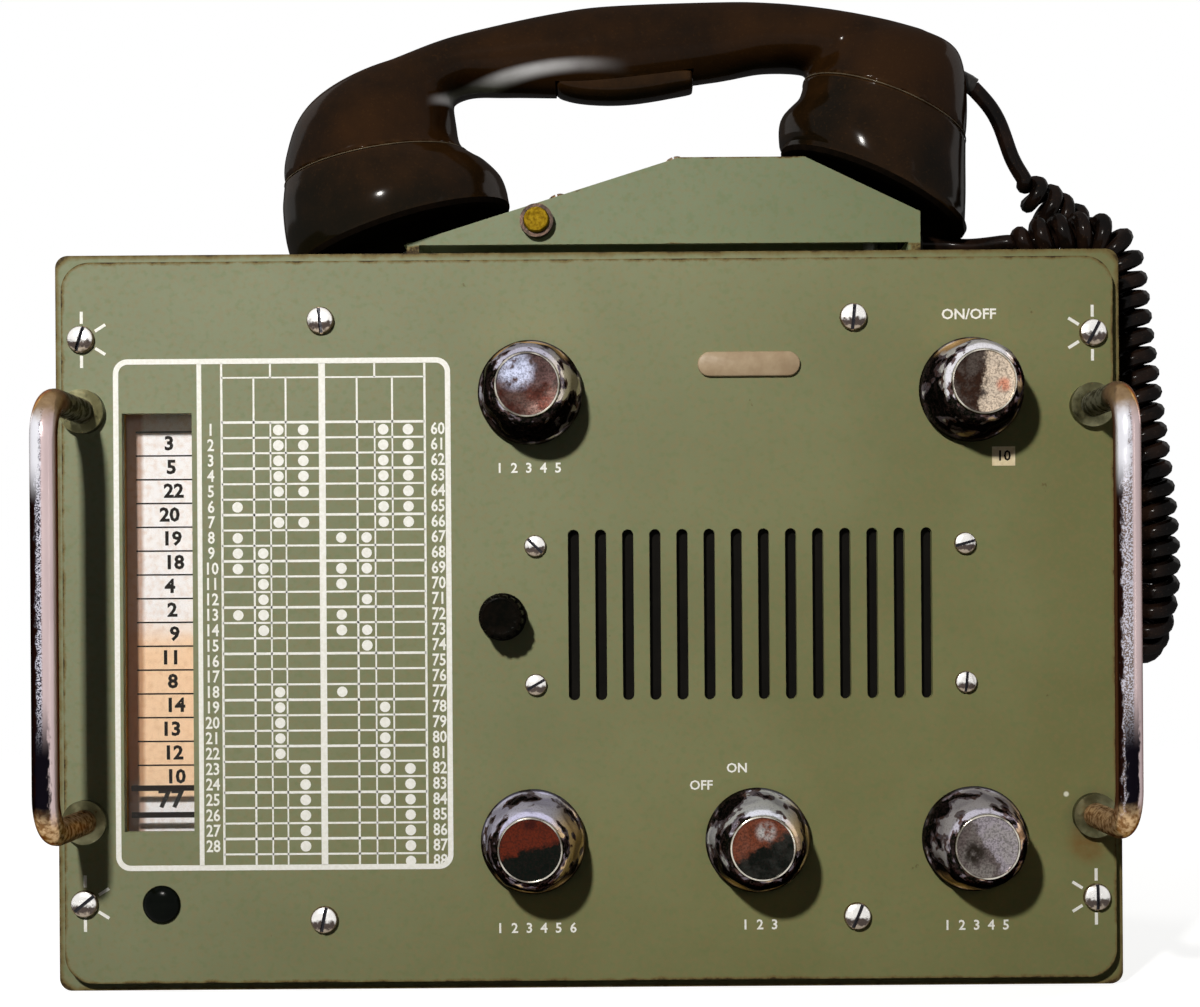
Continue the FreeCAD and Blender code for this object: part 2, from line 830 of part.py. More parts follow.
def build_cabinet():
    """The sheet-steel sleeve: open in front behind an inward flange, closed at the back."""
    wall = D["cabinet_wall"]
    width = D["cabinet_width"]
    depth = D["cabinet_depth"]
    height = D["cabinet_height"]
    outside = rounded_block((-half_width, -half_depth, 0), (width, depth, height), D["cabinet_corner"])
    inside = rounded_block(
        (-half_width + wall, -half_depth + wall, wall),
        (width - 2 * wall, depth - 2 * wall, height - 2 * wall),
        D["cabinet_corner"] - wall,
    )
    plunger_foot = (D["plunger_column"], D["handset_plane"], cabinet_top - wall)
    holes = [inside, mouth(-half_depth, wall), drill(plunger_foot, plunger_hole_radius, wall)]
    holes += [drill((x, inner_back, z), D["socket_radius"], wall, BACKWARD) for x, z in rear_fitting_places()]
    for side in (-1, 1):
        for deep in (-1, 1):
            across = side * (half_width - D["base_hole_inset_across"])
            along = deep * (half_depth - D["base_hole_inset_deep"])
            holes.append(drill((across, along, 0), D["base_hole_radius"], wall))
    node("cabinet_shell", cut(outside, holes + fastener_holes(-half_depth, wall)))

    margin = D["panel_margin"] + D["gasket_inset"]
    thickness = D["gasket_thickness"]
    gasket = rounded_block(
        (-half_width + margin, panel_back, margin),
        (width - 2 * margin, thickness, height - 2 * margin),
        D["panel_corner"] - D["gasket_inset"],
    )
    node("panel_gasket", cut(gasket, [mouth(panel_back, thickness)] + fastener_holes(panel_back, thickness)))


def build_panel():
    """The front panel with its window, loudspeaker slots and every hole that a control needs."""
    body = new_body("front_panel", (0, panel_back, 0))
    outline = new_sketch(body, "XZ_Plane")
    margin = D["panel_margin"]
    width = D["cabinet_width"] - 2 * margin
    height = D["cabinet_height"] - 2 * margin
    rectangle(outline, (0, D["cabinet_height"] / 2), width, height)
    plate = pad(body, outline, D["panel_thickness"])
    round_corners(body, plate, D["panel_corner"], runs_along((0, 1, 0)))

    openings = new_sketch(body, "XZ_Plane")
    window_height = window_top - window_bottom
    rectangle(openings, (window_across, window_bottom + window_height / 2), D["window_width"], window_height)
    for spot, radius in panel_holes():
        circle(openings, spot, radius)
    pierce(body, openings, D["panel_thickness"])

    slots = new_sketch(body, "XZ_Plane")
    row_length = D["slot_pitch"] * (GRILLE_SLOTS - 1)
    upright_slot(slots, (D["grille_column"] - row_length / 2, grille_row), D["slot_width"], D["slot_height"])
    slot = pierce(body, slots, D["panel_thickness"])
    row = body.newObject("PartDesign::LinearPattern", "Slots")
    row.Originals = [slot]
    row.Direction = (slots, ["H_Axis"])
    bind(row, Length=row_length)
    row.Occurrences = GRILLE_SLOTS
    body.Tip = row
    node("front_panel", body)


def panel_holes():
    """Centre and radius of every round hole in the panel."""
    screw = D["panel_screw_radius"] + D["screw_clearance"]
    holes = [(spot, screw) for spot in panel_screw_places() + handle_places()]
    holes += [(spot, D["grille_screw_radius"] + D["screw_clearance"]) for spot in grille_screw_places()]
    holes += [(spot, D["bush_radius"] + D["running_fit"]) for _, spot in bushed_controls()]
    holes.append((channel_spot(), D["spindle_radius"] + D["running_fit"]))
    holes.append((plug_spot(), D["plug_stem_radius"] + D["running_fit"]))
    return holes


def slotted_screw(spot, kind, shank_length, slot_turn):
    """A round-headed slotted screw in the panel's face, its slot turned by an angle."""
    x, z = spot
    head_radius = D[f"{kind}_head_radius"]
    head_height = D[f"{kind}_head_height"]
    rim_height = head_height * SCREW_RIM
    crown_start = (x, panel_front - rim_height, z)
    rim = rod((x, panel_front, z), head_radius, rim_height, FORWARD)
    crown = cone(crown_start, head_radius, head_radius * SCREW_CROWN, head_height - rim_height, FORWARD)
    shank = rod((x, panel_front, z), D[f"{kind}_radius"], shank_length, BACKWARD)
    slot_width = head_radius * SCREW_SLOT
    slot_length = 2 * head_radius + 2 * PAST
    turned = Rotation(Vector(0, 1, 0), slot_turn)
    corner = turned.multVec(Vector(-value_of(slot_length) / 2, 0, -value_of(slot_width) / 2))
    slot = block((0, 0, 0), (slot_length, head_height, slot_width))
    place(slot, (x + corner.x, panel_front - head_height * 1.5, z + corner.z), turned)
    return cut(fused([rim, crown, shank]), [slot])


def build_fasteners():
    """The panel's screws and the loudspeaker's."""
    length = D["panel_thickness"] + D["gasket_thickness"] + D["cabinet_wall"] + D["panel_screw_end"]
    screws = [
        slotted_screw(spot, "panel_screw", length, angle)
        for spot, angle in zip(panel_screw_places(), SLOT_TURNS)
    ]
    node("panel_screws", group(screws))
    length = D["panel_thickness"] + D["cloth_thickness"] + D["speaker_plate_thickness"] + D["grille_screw_end"]
    screws = [
        slotted_screw(spot, "grille_screw", length, angle)
        for spot, angle in zip(grille_screw_places(), GRILLE_SLOT_TURNS)
    ]
    node("grille_screws", group(screws))


# ---------------------------------------------------------------- handles


def build_handles():
    """Two U handles of bent rod, a collar on each foot and a bolt from behind."""
    rod_radius = D["handle_rod_radius"]
    bend = D["handle_bend_radius"]
    post = D["handle_reach"] - bend - D["collar_thickness"]
    foot_front = panel_front - D["collar_thickness"]
    bend_front = foot_front - post
    low, high = handle_feet
    for side, name in ((-1, "left_handle"), (1, "right_handle")):
        across = side * handle_column
        pieces = [
            rod((across, foot_front, low), rod_radius, post, FORWARD),
            rod((across, foot_front, high), rod_radius, post, FORWARD),
            rod((across, bend_front - bend, low + bend), rod_radius, high - low - 2 * bend),
            quarter_ring((across, bend_front, high - bend), bend, rod_radius, 1),
            quarter_ring((across, bend_front, low + bend), bend, rod_radius, -1),
        ]
        node(name, fused(pieces))
    bore_radius = D["panel_screw_radius"] + D["screw_clearance"]
    grip = D["collar_thickness"] + D["panel_thickness"] + D["gasket_thickness"] + D["cabinet_wall"]
    collars = []
    bolts = []
    for x, z in handle_places():
        ring = rod((x, panel_front, z), D["collar_radius"], D["collar_thickness"], FORWARD)
        bore = drill((x, panel_front, z), bore_radius, D["collar_thickness"], FORWARD)
        collars.append(cut(ring, [bore]))
        shank = rod((x, flange_back, z), D["panel_screw_radius"], grip, FORWARD)
        head = hexagon((x, flange_back, z), D["bolt_head_radius"], D["bolt_head_height"], BACKWARD)
        bolts.append(fused([shank, head]))
    node("handle_collars", group(collars))
    node("handle_bolts", group(bolts))


def quarter_ring(centre, ring_radius, rod_radius, up):
    """A quarter bend of round rod from a post, above or below its centre, to the bar in front."""
    thing = document.addObject("Part::Torus", "Bend")
    bind(thing, Radius1=ring_radius, Radius2=rod_radius)
    thing.Angle3 = 90
    axes = (Vector(0, 0, up), Vector(0, -1, 0), Vector(up, 0, 0))
    return place(thing, centre, Rotation(*axes, "XYZ"))


# ---------------------------------------------------------------- channel window and dial drive


def build_window():
    """The window's tray, lens and card, the cursor that slides in it and the cord drive that moves it."""
    gauge = D["tray_sheet"]
    depth = D["tray_depth"]
    margin = D["pulley_radius"] + D["pulley_plate_margin"]
    plate_left = tray_left - gauge
    plate_right = pulley_column + margin + D["wheel_rim"]
    plate_bottom = lower_pulley_height - margin
    plate_top = top_pulley_height + margin
    floor = block(
        (plate_left, tray_floor_front, plate_bottom),
        (plate_right - plate_left, gauge, plate_top - plate_bottom),
    )
    walls = [block((x, panel_back, tray_bottom), (gauge, depth, tray_height)) for x in (plate_left, tray_right)]
    arm_room = D["arm_slot_clearance"]
    arm_slot = block(
        (tray_right - PAST, cursor_front - arm_room, window_bottom - arm_room),
        (gauge + 2 * PAST, D["cursor_thickness"] + 2 * arm_room, window_top - window_bottom + 2 * arm_room),
    )
    post_column = tray_left + D["tray_post_inset"]
    post_rows = (plate_bottom + D["tray_post_inset"], plate_top - D["tray_post_inset"])
    posts = [rod((post_column, panel_back, z), D["tray_post_radius"], depth, BACKWARD) for z in post_rows]
    pins = [
        rod((pulley_column, tray_floor_front, z), D["pulley_pin_radius"], D["pulley_pin_length"], FORWARD)
        for z in (lower_pulley_height, top_pulley_height)
    ]
    node("window_tray", fused([cut(fused([floor] + walls), [arm_slot])] + posts + pins))

    room = D["slide_clearance"]
    lens_lengths = (tray_width - 2 * room, D["lens_thickness"], tray_height)
    node("window_lens", block((tray_left + room, panel_back, tray_bottom), lens_lengths))
    room = D["card_clearance"]
    card_front = tray_floor_front - D["card_thickness"]
    card_lengths = (tray_width - 2 * room, D["card_thickness"], tray_height)
    node("channel_card", block((tray_left + room, card_front, tray_bottom), card_lengths))
    build_cursor()
    build_dial_drive()


def build_cursor():
    """The clear slider with an arm that clips round the dial cord."""
    room = D["slide_clearance"]
    thickness = D["cursor_thickness"]
    height = D["cursor_height"]
    bottom = cursor_start - height / 2
    arm_height = D["cursor_arm_height"]
    arm_bottom = cursor_start - arm_height / 2
    clip_width = D["cursor_clip_width"]
    cord_column = pulley_column - D["pulley_radius"]
    clip_left = cord_column - clip_width / 2
    clip_depth = dial_cord_plane + clip_width / 2 - cursor_front
    slider = block((tray_left + room, cursor_front, bottom), (tray_width - 2 * room, thickness, height))
    arm_left = tray_right - room - PAST
    arm = block((arm_left, cursor_front, arm_bottom), (clip_left + clip_width - arm_left, thickness, arm_height))
    clip = block((clip_left, cursor_front, arm_bottom), (clip_width, clip_depth, arm_height))
    bore_radius = D["dial_cord_radius"] + D["dial_cord_clearance"]
    bore = drill((cord_column, dial_cord_plane, arm_bottom), bore_radius, arm_height)
    node("cursor", cut(fused([slider, arm, clip]), [bore]))


def grooved_wheel(name, centre, radius, thickness, bore_radius):
    """A wheel with a shallow groove for the dial cord, its axis front to back."""
    body = new_body(name, (centre[0], dial_cord_plane - thickness / 2, centre[1]))
    profile = new_sketch(body, "XY_Plane")
    groove = radius - D["dial_cord_radius"] - D["slide_clearance"]
    rim = radius + D["wheel_rim"]
    polygon(
        profile,
        [
            (bore_radius, 0),
            (rim, 0),
            (rim, thickness * 0.2),
            (groove, thickness * 0.35),
            (groove, thickness * 0.65),
            (rim, thickness * 0.8),
            (rim, thickness),
            (bore_radius, thickness),
        ],
    )
    turn(body, profile)
    return node(name, body)


def build_dial_drive():
    """The drum on the channel spindle, two idlers and the endless cord round all three."""
    drum_bore = D["spindle_radius"] + D["press_clearance"]
    idler_bore = D["pulley_pin_radius"] + D["running_fit"]
    grooved_wheel("drive_drum", channel_spot(), D["drum_radius"], D["drum_thickness"], drum_bore)
    idlers = (("lower_pulley", lower_pulley_height), ("top_pulley", top_pulley_height))
    for name, up in idlers:
        grooved_wheel(name, (pulley_column, up), D["pulley_radius"], D["pulley_thickness"], idler_bore)
    wheels = [(pulley_column, up, D["pulley_radius"]) for _, up in idlers]
    wheels.append((*channel_spot(), D["drum_radius"]))
    wheels = [tuple(value_of(amount) for amount in wheel) for wheel in wheels]
    feature("dial_cord", belt(wheels, value_of(D["dial_cord_radius"])), (0, dial_cord_plane, 0))


def belt(wheels, radius):
    """An endless round cord about wheels given clockwise as (across, up, radius)."""
    count = len(wheels)
    leaving = []
    arriving = []
    for n in range(count):
        x1, z1, r1 = wheels[n]
        x2, z2, r2 = wheels[(n + 1) % count]
        span = math.hypot(x2 - x1, z2 - z1)
        heading = math.atan2(z2 - z1, x2 - x1) + math.pi / 2 - math.asin((r1 - r2) / span)
        outward = Vector(math.cos(heading), 0, math.sin(heading))
        leaving.append(Vector(x1, 0, z1) + outward * r1)
        arriving.append(Vector(x2, 0, z2) + outward * r2)
    edges = []
    for n in range(count):
        edges.append(Part.LineSegment(leaving[n], arriving[n]).toShape())
        x, z, r = wheels[(n + 1) % count]
        start = arriving[n]
        stop = leaving[(n + 1) % count]
        centre = Vector(x, 0, z)
        middle = (start - centre) + (stop - centre)
        edges.append(Part.Arc(start, centre + middle.normalize() * r, stop).toShape())
    path = Part.Wire(edges)
    section = Part.Wire([Part.Circle(leaving[0], arriving[0] - leaving[0], radius).toShape()])
    return path.makePipeShell([section], True, True)


# ---------------------------------------------------------------- controls


def large_knob(name, spot):
    """A fluted knob with a skirt and a dished front, bored for its spindle and hollowed over the nut."""
    radius = D["knob_radius"]
    height = D["knob_height"]
    gap = D["knob_gap"]
    bore = D["spindle_radius"] + D["press_clearance"]
    recess = D["bush_nut_radius"] + 2
    ceiling = gap + D["bush_nut_thickness"] + 1.2
    flute_start = gap + 4
    bore_end = panel_front - knob_inside
    outline = [
        (recess, gap),
        (radius, gap),
        (radius, gap + 2.2),
        (radius - 0.9, flute_start),
        (radius - 2.3, height * 0.72),
        (radius - 4, height * 0.9),
        (radius - 6, height),
        (radius - 7.2, height),
        (radius - 7.5, height - 0.6),
        (0, height - 0.6),
        (0, bore_end),
        (bore, bore_end),
        (bore, ceiling),
        (recess, ceiling),
    ]
    flute = (radius + D["flute_standoff"], D["flute_radius"], flute_start)
    return fluted_knob(name, spot, outline, flute, KNOB_FLUTES)


def small_knob(name, spot):
    """The small black knob with fine fluting."""
    radius = D["small_knob_radius"]
    height = D["small_knob_height"]
    gap = D["knob_gap"]
    bore = D["spindle_radius"] + D["press_clearance"]
    recess = D["small_bush_nut_radius"] + 0.3
    ceiling = gap + D["bush_nut_thickness"] + 0.4
    flute_start = gap + 2.4
    bore_end = panel_front - small_knob_inside
    outline = [
        (recess, gap),
        (radius, gap),
        (radius, gap + 1.6),
        (radius - 0.6, flute_start),
        (radius - 1, height - 0.8),
        (radius - 2, height),
        (0, height),
        (0, bore_end),
        (bore, bore_end),
        (bore, ceiling),
        (recess, ceiling),
    ]
    flute = (radius + D["small_flute_standoff"], D["small_flute_radius"], flute_start)
    return fluted_knob(name, spot, outline, flute, SMALL_KNOB_FLUTES)


def fluted_knob(name, spot, outline, flute, flutes):
    """Turn a knob from (radius, height above the panel) and cut flutes (centre, radius, start) in its flank."""
    body = new_body(name, (spot[0], panel_front, spot[1]))
    profile = new_sketch(body, "XY_Plane")
    polygon(profile, [(across, -up) for across, up in outline])
    turn(body, profile)
    centre, radius, start = flute
    groove = new_sketch(body, "XZ_Plane")
    groove.AttachmentOffset = Placement(Vector(0, 0, value_of(start)), Rotation())
    groove.setExpression("AttachmentOffset.Base.z", formula_of(start))
    circle(groove, (centre, 0), radius)
    repeat_round(body, pierce(body, groove, D["knob_height"]), profile, flutes)
    return node(name, body)


def spindle(name, spot, back, front):
    """A control's spindle, from inside the set to inside its knob."""
    return node(name, rod((spot[0], back, spot[1]), D["spindle_radius"], back - front, FORWARD))


def control_body(spot, can_radius, depth, has_plate):
    """The can behind the panel and the threaded bush through it, bored for the spindle."""
    x, z = spot
    bush_length = D["panel_thickness"] + D["bush_nut_thickness"] + D["bush_end"]
    pieces = [
        rod((x, panel_back, z), can_radius, depth, BACKWARD),
        rod((x, panel_back, z), D["bush_radius"], bush_length, FORWARD),
    ]
    if has_plate:
        width = D["switch_plate_width"]
        height = D["switch_plate_height"]
        corner = (x - width / 2, panel_back, z - height / 2)
        pieces.append(block(corner, (width, D["wafer_thickness"], height)))
    bore_depth = depth * 0.8
    bore_radius = D["spindle_radius"] + D["running_fit"]
    bore = rod((x, panel_back + bore_depth, z), bore_radius, bore_depth + bush_length + PAST, FORWARD)
    return cut(fused(pieces), [bore])


def build_controls():
    """Every knob with its spindle, the potentiometers and switches behind the panel, and their nuts."""
    potentiometers = []
    rotary_switches = []
    nuts = []
    for name, spot in bushed_controls():
        small = name == "squelch"
        is_switch = name in ("on_off", "function")
        depth = D["wafer_spacing"] * 2 if is_switch else D["potentiometer_depth"]
        can_radius = D["small_potentiometer_radius"] if small else D["potentiometer_radius"]
        (small_knob if small else large_knob)(f"{name}_knob", spot)
        spindle(f"{name}_spindle", spot, panel_back + depth * 0.8, small_knob_inside if small else knob_inside)
        works = control_body(spot, can_radius, depth, is_switch)
        (rotary_switches if is_switch else potentiometers).append(works)
        face = (spot[0], panel_front, spot[1])
        nut_radius = D["small_bush_nut_radius"] if small else D["bush_nut_radius"]
        nut = hexagon(face, nut_radius, D["bush_nut_thickness"], FORWARD)
        thread = drill(face, D["bush_radius"] + D["press_clearance"], D["bush_nut_thickness"], FORWARD)
        nuts.append(cut(nut, [thread]))
    node("potentiometers", group(potentiometers))
    node("rotary_switches", group(rotary_switches))
    node("bush_nuts", group(nuts))


def build_channel_selector():
    """The channel knob, its long spindle and the wafer switch on the chassis bracket."""
    x, z = channel_spot()
    large_knob("channel_knob", (x, z))
    stack = D["wafer_spacing"] * WAFERS
    front = bracket_front + D["tray_sheet"]
    spindle("channel_spindle", (x, z), front + stack, knob_inside)
    half_plate = D["selector_plate_width"] / 2
    plate = block(
        (x - half_plate, front, z - half_plate),
        (D["selector_plate_width"], D["selector_plate_thickness"], D["selector_plate_width"]),
    )
    first_wafer = front + D["wafer_spacing"] - D["selector_plate_thickness"]
    wafers = [
        rod((x, first_wafer + D["wafer_spacing"] * n, z), D["wafer_radius"], D["wafer_thickness"], BACKWARD)
        for n in range(WAFERS)
    ]
    stud_offset = D["wafer_stud_spacing"] / 2
    studs = [
        rod((x + side * stud_offset, front, z), D["wafer_stud_radius"], stack, BACKWARD) for side in (-1, 1)
    ]
    bore = drill((x, front, z), D["spindle_radius"] + D["running_fit"], stack, BACKWARD)
    node("channel_switch", cut(fused([plate] + wafers + studs), [bore]))


# ---------------------------------------------------------------- loudspeaker and panel trim


def build_speaker():
    """Cloth behind the slots, and the loudspeaker's frame, cone and magnet."""
    column = D["grille_column"]
    width = D["grille_screw_spacing"] + 2 * D["speaker_plate_margin_across"]
    height = D["slot_height"] + 2 * D["speaker_plate_margin_up"]
    left = column - width / 2
    bottom = grille_row - height / 2
    cloth_back = panel_back + D["cloth_thickness"]
    plate_back = cloth_back + D["speaker_plate_thickness"]
    plies = D["cloth_thickness"] + D["speaker_plate_thickness"]
    bore_radius = D["grille_screw_radius"] + D["screw_clearance"]

    def screw_bores():
        return [drill((x, panel_back, z), bore_radius, plies, BACKWARD) for x, z in grille_screw_places()]

    cloth = block((left, panel_back, bottom), (width, D["cloth_thickness"], height))
    node("speaker_cloth", cut(cloth, screw_bores()))

    radius = D["speaker_radius"]
    back_radius = D["basket_back_radius"]
    wall = D["basket_wall"]
    depth = D["basket_depth"]
    plate = block((left, cloth_back, bottom), (width, D["speaker_plate_thickness"], height))
    basket = cone((column, plate_back, grille_row), radius, back_radius, depth, BACKWARD)
    hollow = cone((column, plate_back, grille_row), radius - wall, back_radius - wall, depth, BACKWARD)
    window = block(
        (column - depth / 4, plate_back + depth / 4, grille_row - radius - PAST),
        (depth / 2, depth / 2, 2 * radius + 2 * PAST),
    )
    throat = drill((column, panel_back, grille_row), radius - wall, plies, BACKWARD)
    frame = fused([plate, cut(basket, [hollow, window])])
    node("speaker_frame", cut(frame, [throat] + screw_bores()))

    body = new_body("speaker_cone", (column, plate_back, grille_row))
    profile = new_sketch(body, "XY_Plane")
    paper = D["cone_paper"]
    rim_depth = 1 + paper
    rim_radius = radius - wall - rim_depth * (radius - back_radius) / depth - D["slide_clearance"]
    fold_radius = rim_radius - D["cone_rim"]
    cap_radius = D["cone_cap_radius"]
    cap_depth = D["cone_cap_depth"]
    coil_radius = D["voice_coil_radius"]
    polygon(
        profile,
        [
            (0, cap_depth),
            (cap_radius, cap_depth),
            (fold_radius, 1),
            (rim_radius, 1),
            (rim_radius, rim_depth),
            (fold_radius + 0.3, rim_depth),
            (cap_radius + 0.3, cap_depth + paper),
            (coil_radius, depth),
            (coil_radius - paper, depth),
            (coil_radius - paper, cap_depth + paper),
            (0, cap_depth + paper),
        ],
    )
    turn(body, profile)
    node("speaker_cone", body)
    magnet_front = (column, plate_back + depth, grille_row)
    node("speaker_magnet", rod(magnet_front, D["magnet_radius"], D["magnet_depth"], BACKWARD))


def plug_spot():
    """The spare hole in the panel's corner."""
    return D["plug_inset"] - half_width, D["plug_row"]


def build_trim():
    """The raised blank plate and the plug that closes the spare hole."""
    body = new_body("nameplate", (0, panel_front, 0))
    outline = new_sketch(body, "XZ_Plane")
    centre = (D["nameplate_column"], cabinet_top - D["nameplate_inset"])
    rectangle(outline, centre, D["nameplate_width"], D["nameplate_height"])
    plate = pad(body, outline, D["nameplate_thickness"])
    round_corners(body, plate, D["nameplate_height"] / 2 - D["press_clearance"], runs_along((0, 1, 0)))
    node("nameplate", body)

    across, up = plug_spot()
    plug = new_body("hole_plug", (across, panel_front, up))
    profile = new_sketch(plug, "XY_Plane")
    radius = D["plug_radius"]
    stem_radius = D["plug_stem_radius"]
    stem_length = D["panel_thickness"] + D["plug_stem_end"]
    polygon(
        profile,
        [
            (0, -radius * 0.5),
            (radius * 0.45, -radius * 0.45),
            (radius * 0.8, -radius * 0.28),
            (radius, -radius * 0.07),
            (radius, 0),
            (stem_radius, 0),
            (stem_radius, stem_length),
            (0, stem_length),
        ],
    )
    turn(plug, profile)
    node("hole_plug", plug)


# ---------------------------------------------------------------- chassis and rear


def rear_fitting_places():
    """The aerial socket and the power terminals, on either side of the back."""
    across = half_width - D["rear_fitting_inset"]
    return (across, D["rear_fitting_row"]), (-across, D["rear_fitting_row"])


def build_chassis():
    """The tray that carries the works, with its switch bracket and the board's posts."""
    wall = D["cabinet_wall"]
    gauge = D["chassis_sheet"]
    half_chassis = half_width - D["chassis_side_room"]
    front = flange_back + D["chassis_front_room"]
    tray = block((-half_chassis, front, wall), (2 * half_chassis, inner_back - front, gauge))
    lip = block((-half_chassis, inner_back - gauge, wall), (2 * half_chassis, gauge, D["chassis_lip"]))
    x, z = channel_spot()
    half_bracket = D["bracket_width"] / 2
    bracket = block(
        (x - half_bracket, bracket_front, wall),
        (D["bracket_width"], D["tray_sheet"], z + D["bracket_margin"] - wall),
    )
    gussets = [
        block(
            (x + side * half_bracket - gauge / 2, bracket_front, wall),
            (gauge, D["gusset_depth"], D["gusset_height"]),
        )
        for side in (-1, 1)
    ]
    bore = drill((x, bracket_front, z), D["spindle_radius"] + 2, D["tray_sheet"], BACKWARD)

    unit_left = half_chassis - D["unit_side_room"] - D["unit_width"]
    board_left = -half_chassis + D["board_side_room"]
    board_length = unit_left - D["unit_gap"] - board_left
    board_front = inner_back - D["board_rear_room"] - D["board_depth"]
    inset = D["board_post_inset"]
    posts = [
        rod((across, along, wall), D["board_post_radius"], board_bottom - wall)
        for across in (board_left + inset, board_left + board_length - inset)
        for along in (board_front + inset, board_front + D["board_depth"] - inset)
    ]
    node("chassis", cut(fused([tray, lip, bracket] + gussets + posts), [bore]))
    build_board(board_left, board_front, board_length)
    build_radio_unit(unit_left)


def build_board(left, front, length):
    """The main board with a row of transformers and a row of capacitors."""
    face = board_bottom + D["board_thickness"]
    board = block((left, front, board_bottom), (length, D["board_depth"], D["board_thickness"]))
    pitch = length / TRANSFORMERS
    transformers = [
        block(
            (left + pitch * (n + 0.5) - D["transformer_width"] / 2, front + D["board_depth"] * 0.4, face),
            (D["transformer_width"], D["transformer_depth"], D["transformer_height"]),
        )
        for n in range(TRANSFORMERS)
    ]
    pitch = length / CAPACITORS
    capacitors = [
        rod(
            (left + pitch * (n + 0.5), front + D["board_depth"] * 0.8, face),
            D["capacitor_radius"],
            D["capacitor_height"],
        )
        for n in range(CAPACITORS)
    ]
    node("main_board", fused([board] + transformers + capacitors))


def build_radio_unit(left):
    """The screened can of the receiver and transmitter, with ribs across its lid."""
    front = inner_back - D["unit_rear_room"] - D["unit_depth"]
    bottom = D["cabinet_wall"] + D["chassis_sheet"]
    can = block((left, front, bottom), (D["unit_width"], D["unit_depth"], D["unit_height"]))
    pitch = D["unit_depth"] / (UNIT_RIBS + 1)
    ribs = [
        block(
            (left, front + pitch * n, bottom + D["unit_height"]),
            (D["unit_width"], D["unit_rib"], D["unit_rib"]),
        )
        for n in range(1, UNIT_RIBS + 1)
    ]
    node("radio_unit", fused([can] + ribs))


def build_rear():
    """The heat sink, the aerial socket and the power terminals on the back."""
    left = -D["sink_width"] / 2
    bottom = D["sink_bottom"]
    height = cabinet_top - D["sink_top_inset"] - bottom
    base = block((left, half_depth, bottom), (D["sink_width"], D["sink_base"], height))
    pitch = (D["sink_width"] - D["fin_thickness"]) / (FINS - 1)
    fins = [
        block(
            (left + pitch * n, half_depth + D["sink_base"], bottom),
            (D["fin_thickness"], D["fin_height"], height),
        )
        for n in range(FINS)
    ]
    node("heat_sink", fused([base] + fins))

    (column, row), (terminal_column, _) = rear_fitting_places()
    stem_radius = D["socket_radius"] - D["socket_wall"]
    stem_length = D["cabinet_wall"] + D["rear_stem_end"]
    width = D["socket_flange_width"]
    length = D["socket_length"]
    flange_thickness = D["socket_flange_thickness"]
    flange = block((column - width / 2, half_depth, row - width / 2), (width, flange_thickness, width))
    barrel_back = half_depth + flange_thickness
    barrel = rod((column, barrel_back, row), D["socket_radius"], length, BACKWARD)
    stem = rod((column, half_depth, row), stem_radius, stem_length, FORWARD)
    insert_foot = (column, barrel_back + 2, row)
    well = rod((column, barrel_back + 4, row), stem_radius, length, BACKWARD)
    insert = rod(insert_foot, D["socket_insert_radius"], length - 3, BACKWARD)
    contact = rod(insert_foot, D["socket_contact_radius"], length, BACKWARD)
    node("aerial_socket", cut(fused([cut(fused([flange, barrel, stem]), [well]), insert]), [contact]))

    width = D["terminal_strip_width"]
    height = D["terminal_strip_height"]
    depth = D["terminal_strip_depth"]
    strip = block((terminal_column - width / 2, half_depth, row - height / 2), (width, depth, height))
    pieces = [strip, rod((terminal_column, half_depth, row), stem_radius, stem_length, FORWARD)]
    for side in (-1, 1):
        foot = (terminal_column + side * D["terminal_spacing"] / 2, half_depth + depth, row)
        pieces.append(rod(foot, D["terminal_stud_radius"], D["terminal_stud_length"], BACKWARD))
        pieces.append(hexagon(foot, D["terminal_nut_radius"], D["terminal_nut_thickness"], BACKWARD))
    node("power_terminals", fused(pieces))


# ---------------------------------------------------------------- cradle


def slope_height(across):
    """The height of the cradle's left slope at a place across the set."""
    rise = D["cradle_crest_rise"] - D["cradle_foot"]
    run = D["cradle_crest_left"] - D["cradle_left"]
    return cabinet_top + D["cradle_foot"] + (across - D["cradle_left"]) * rise / run


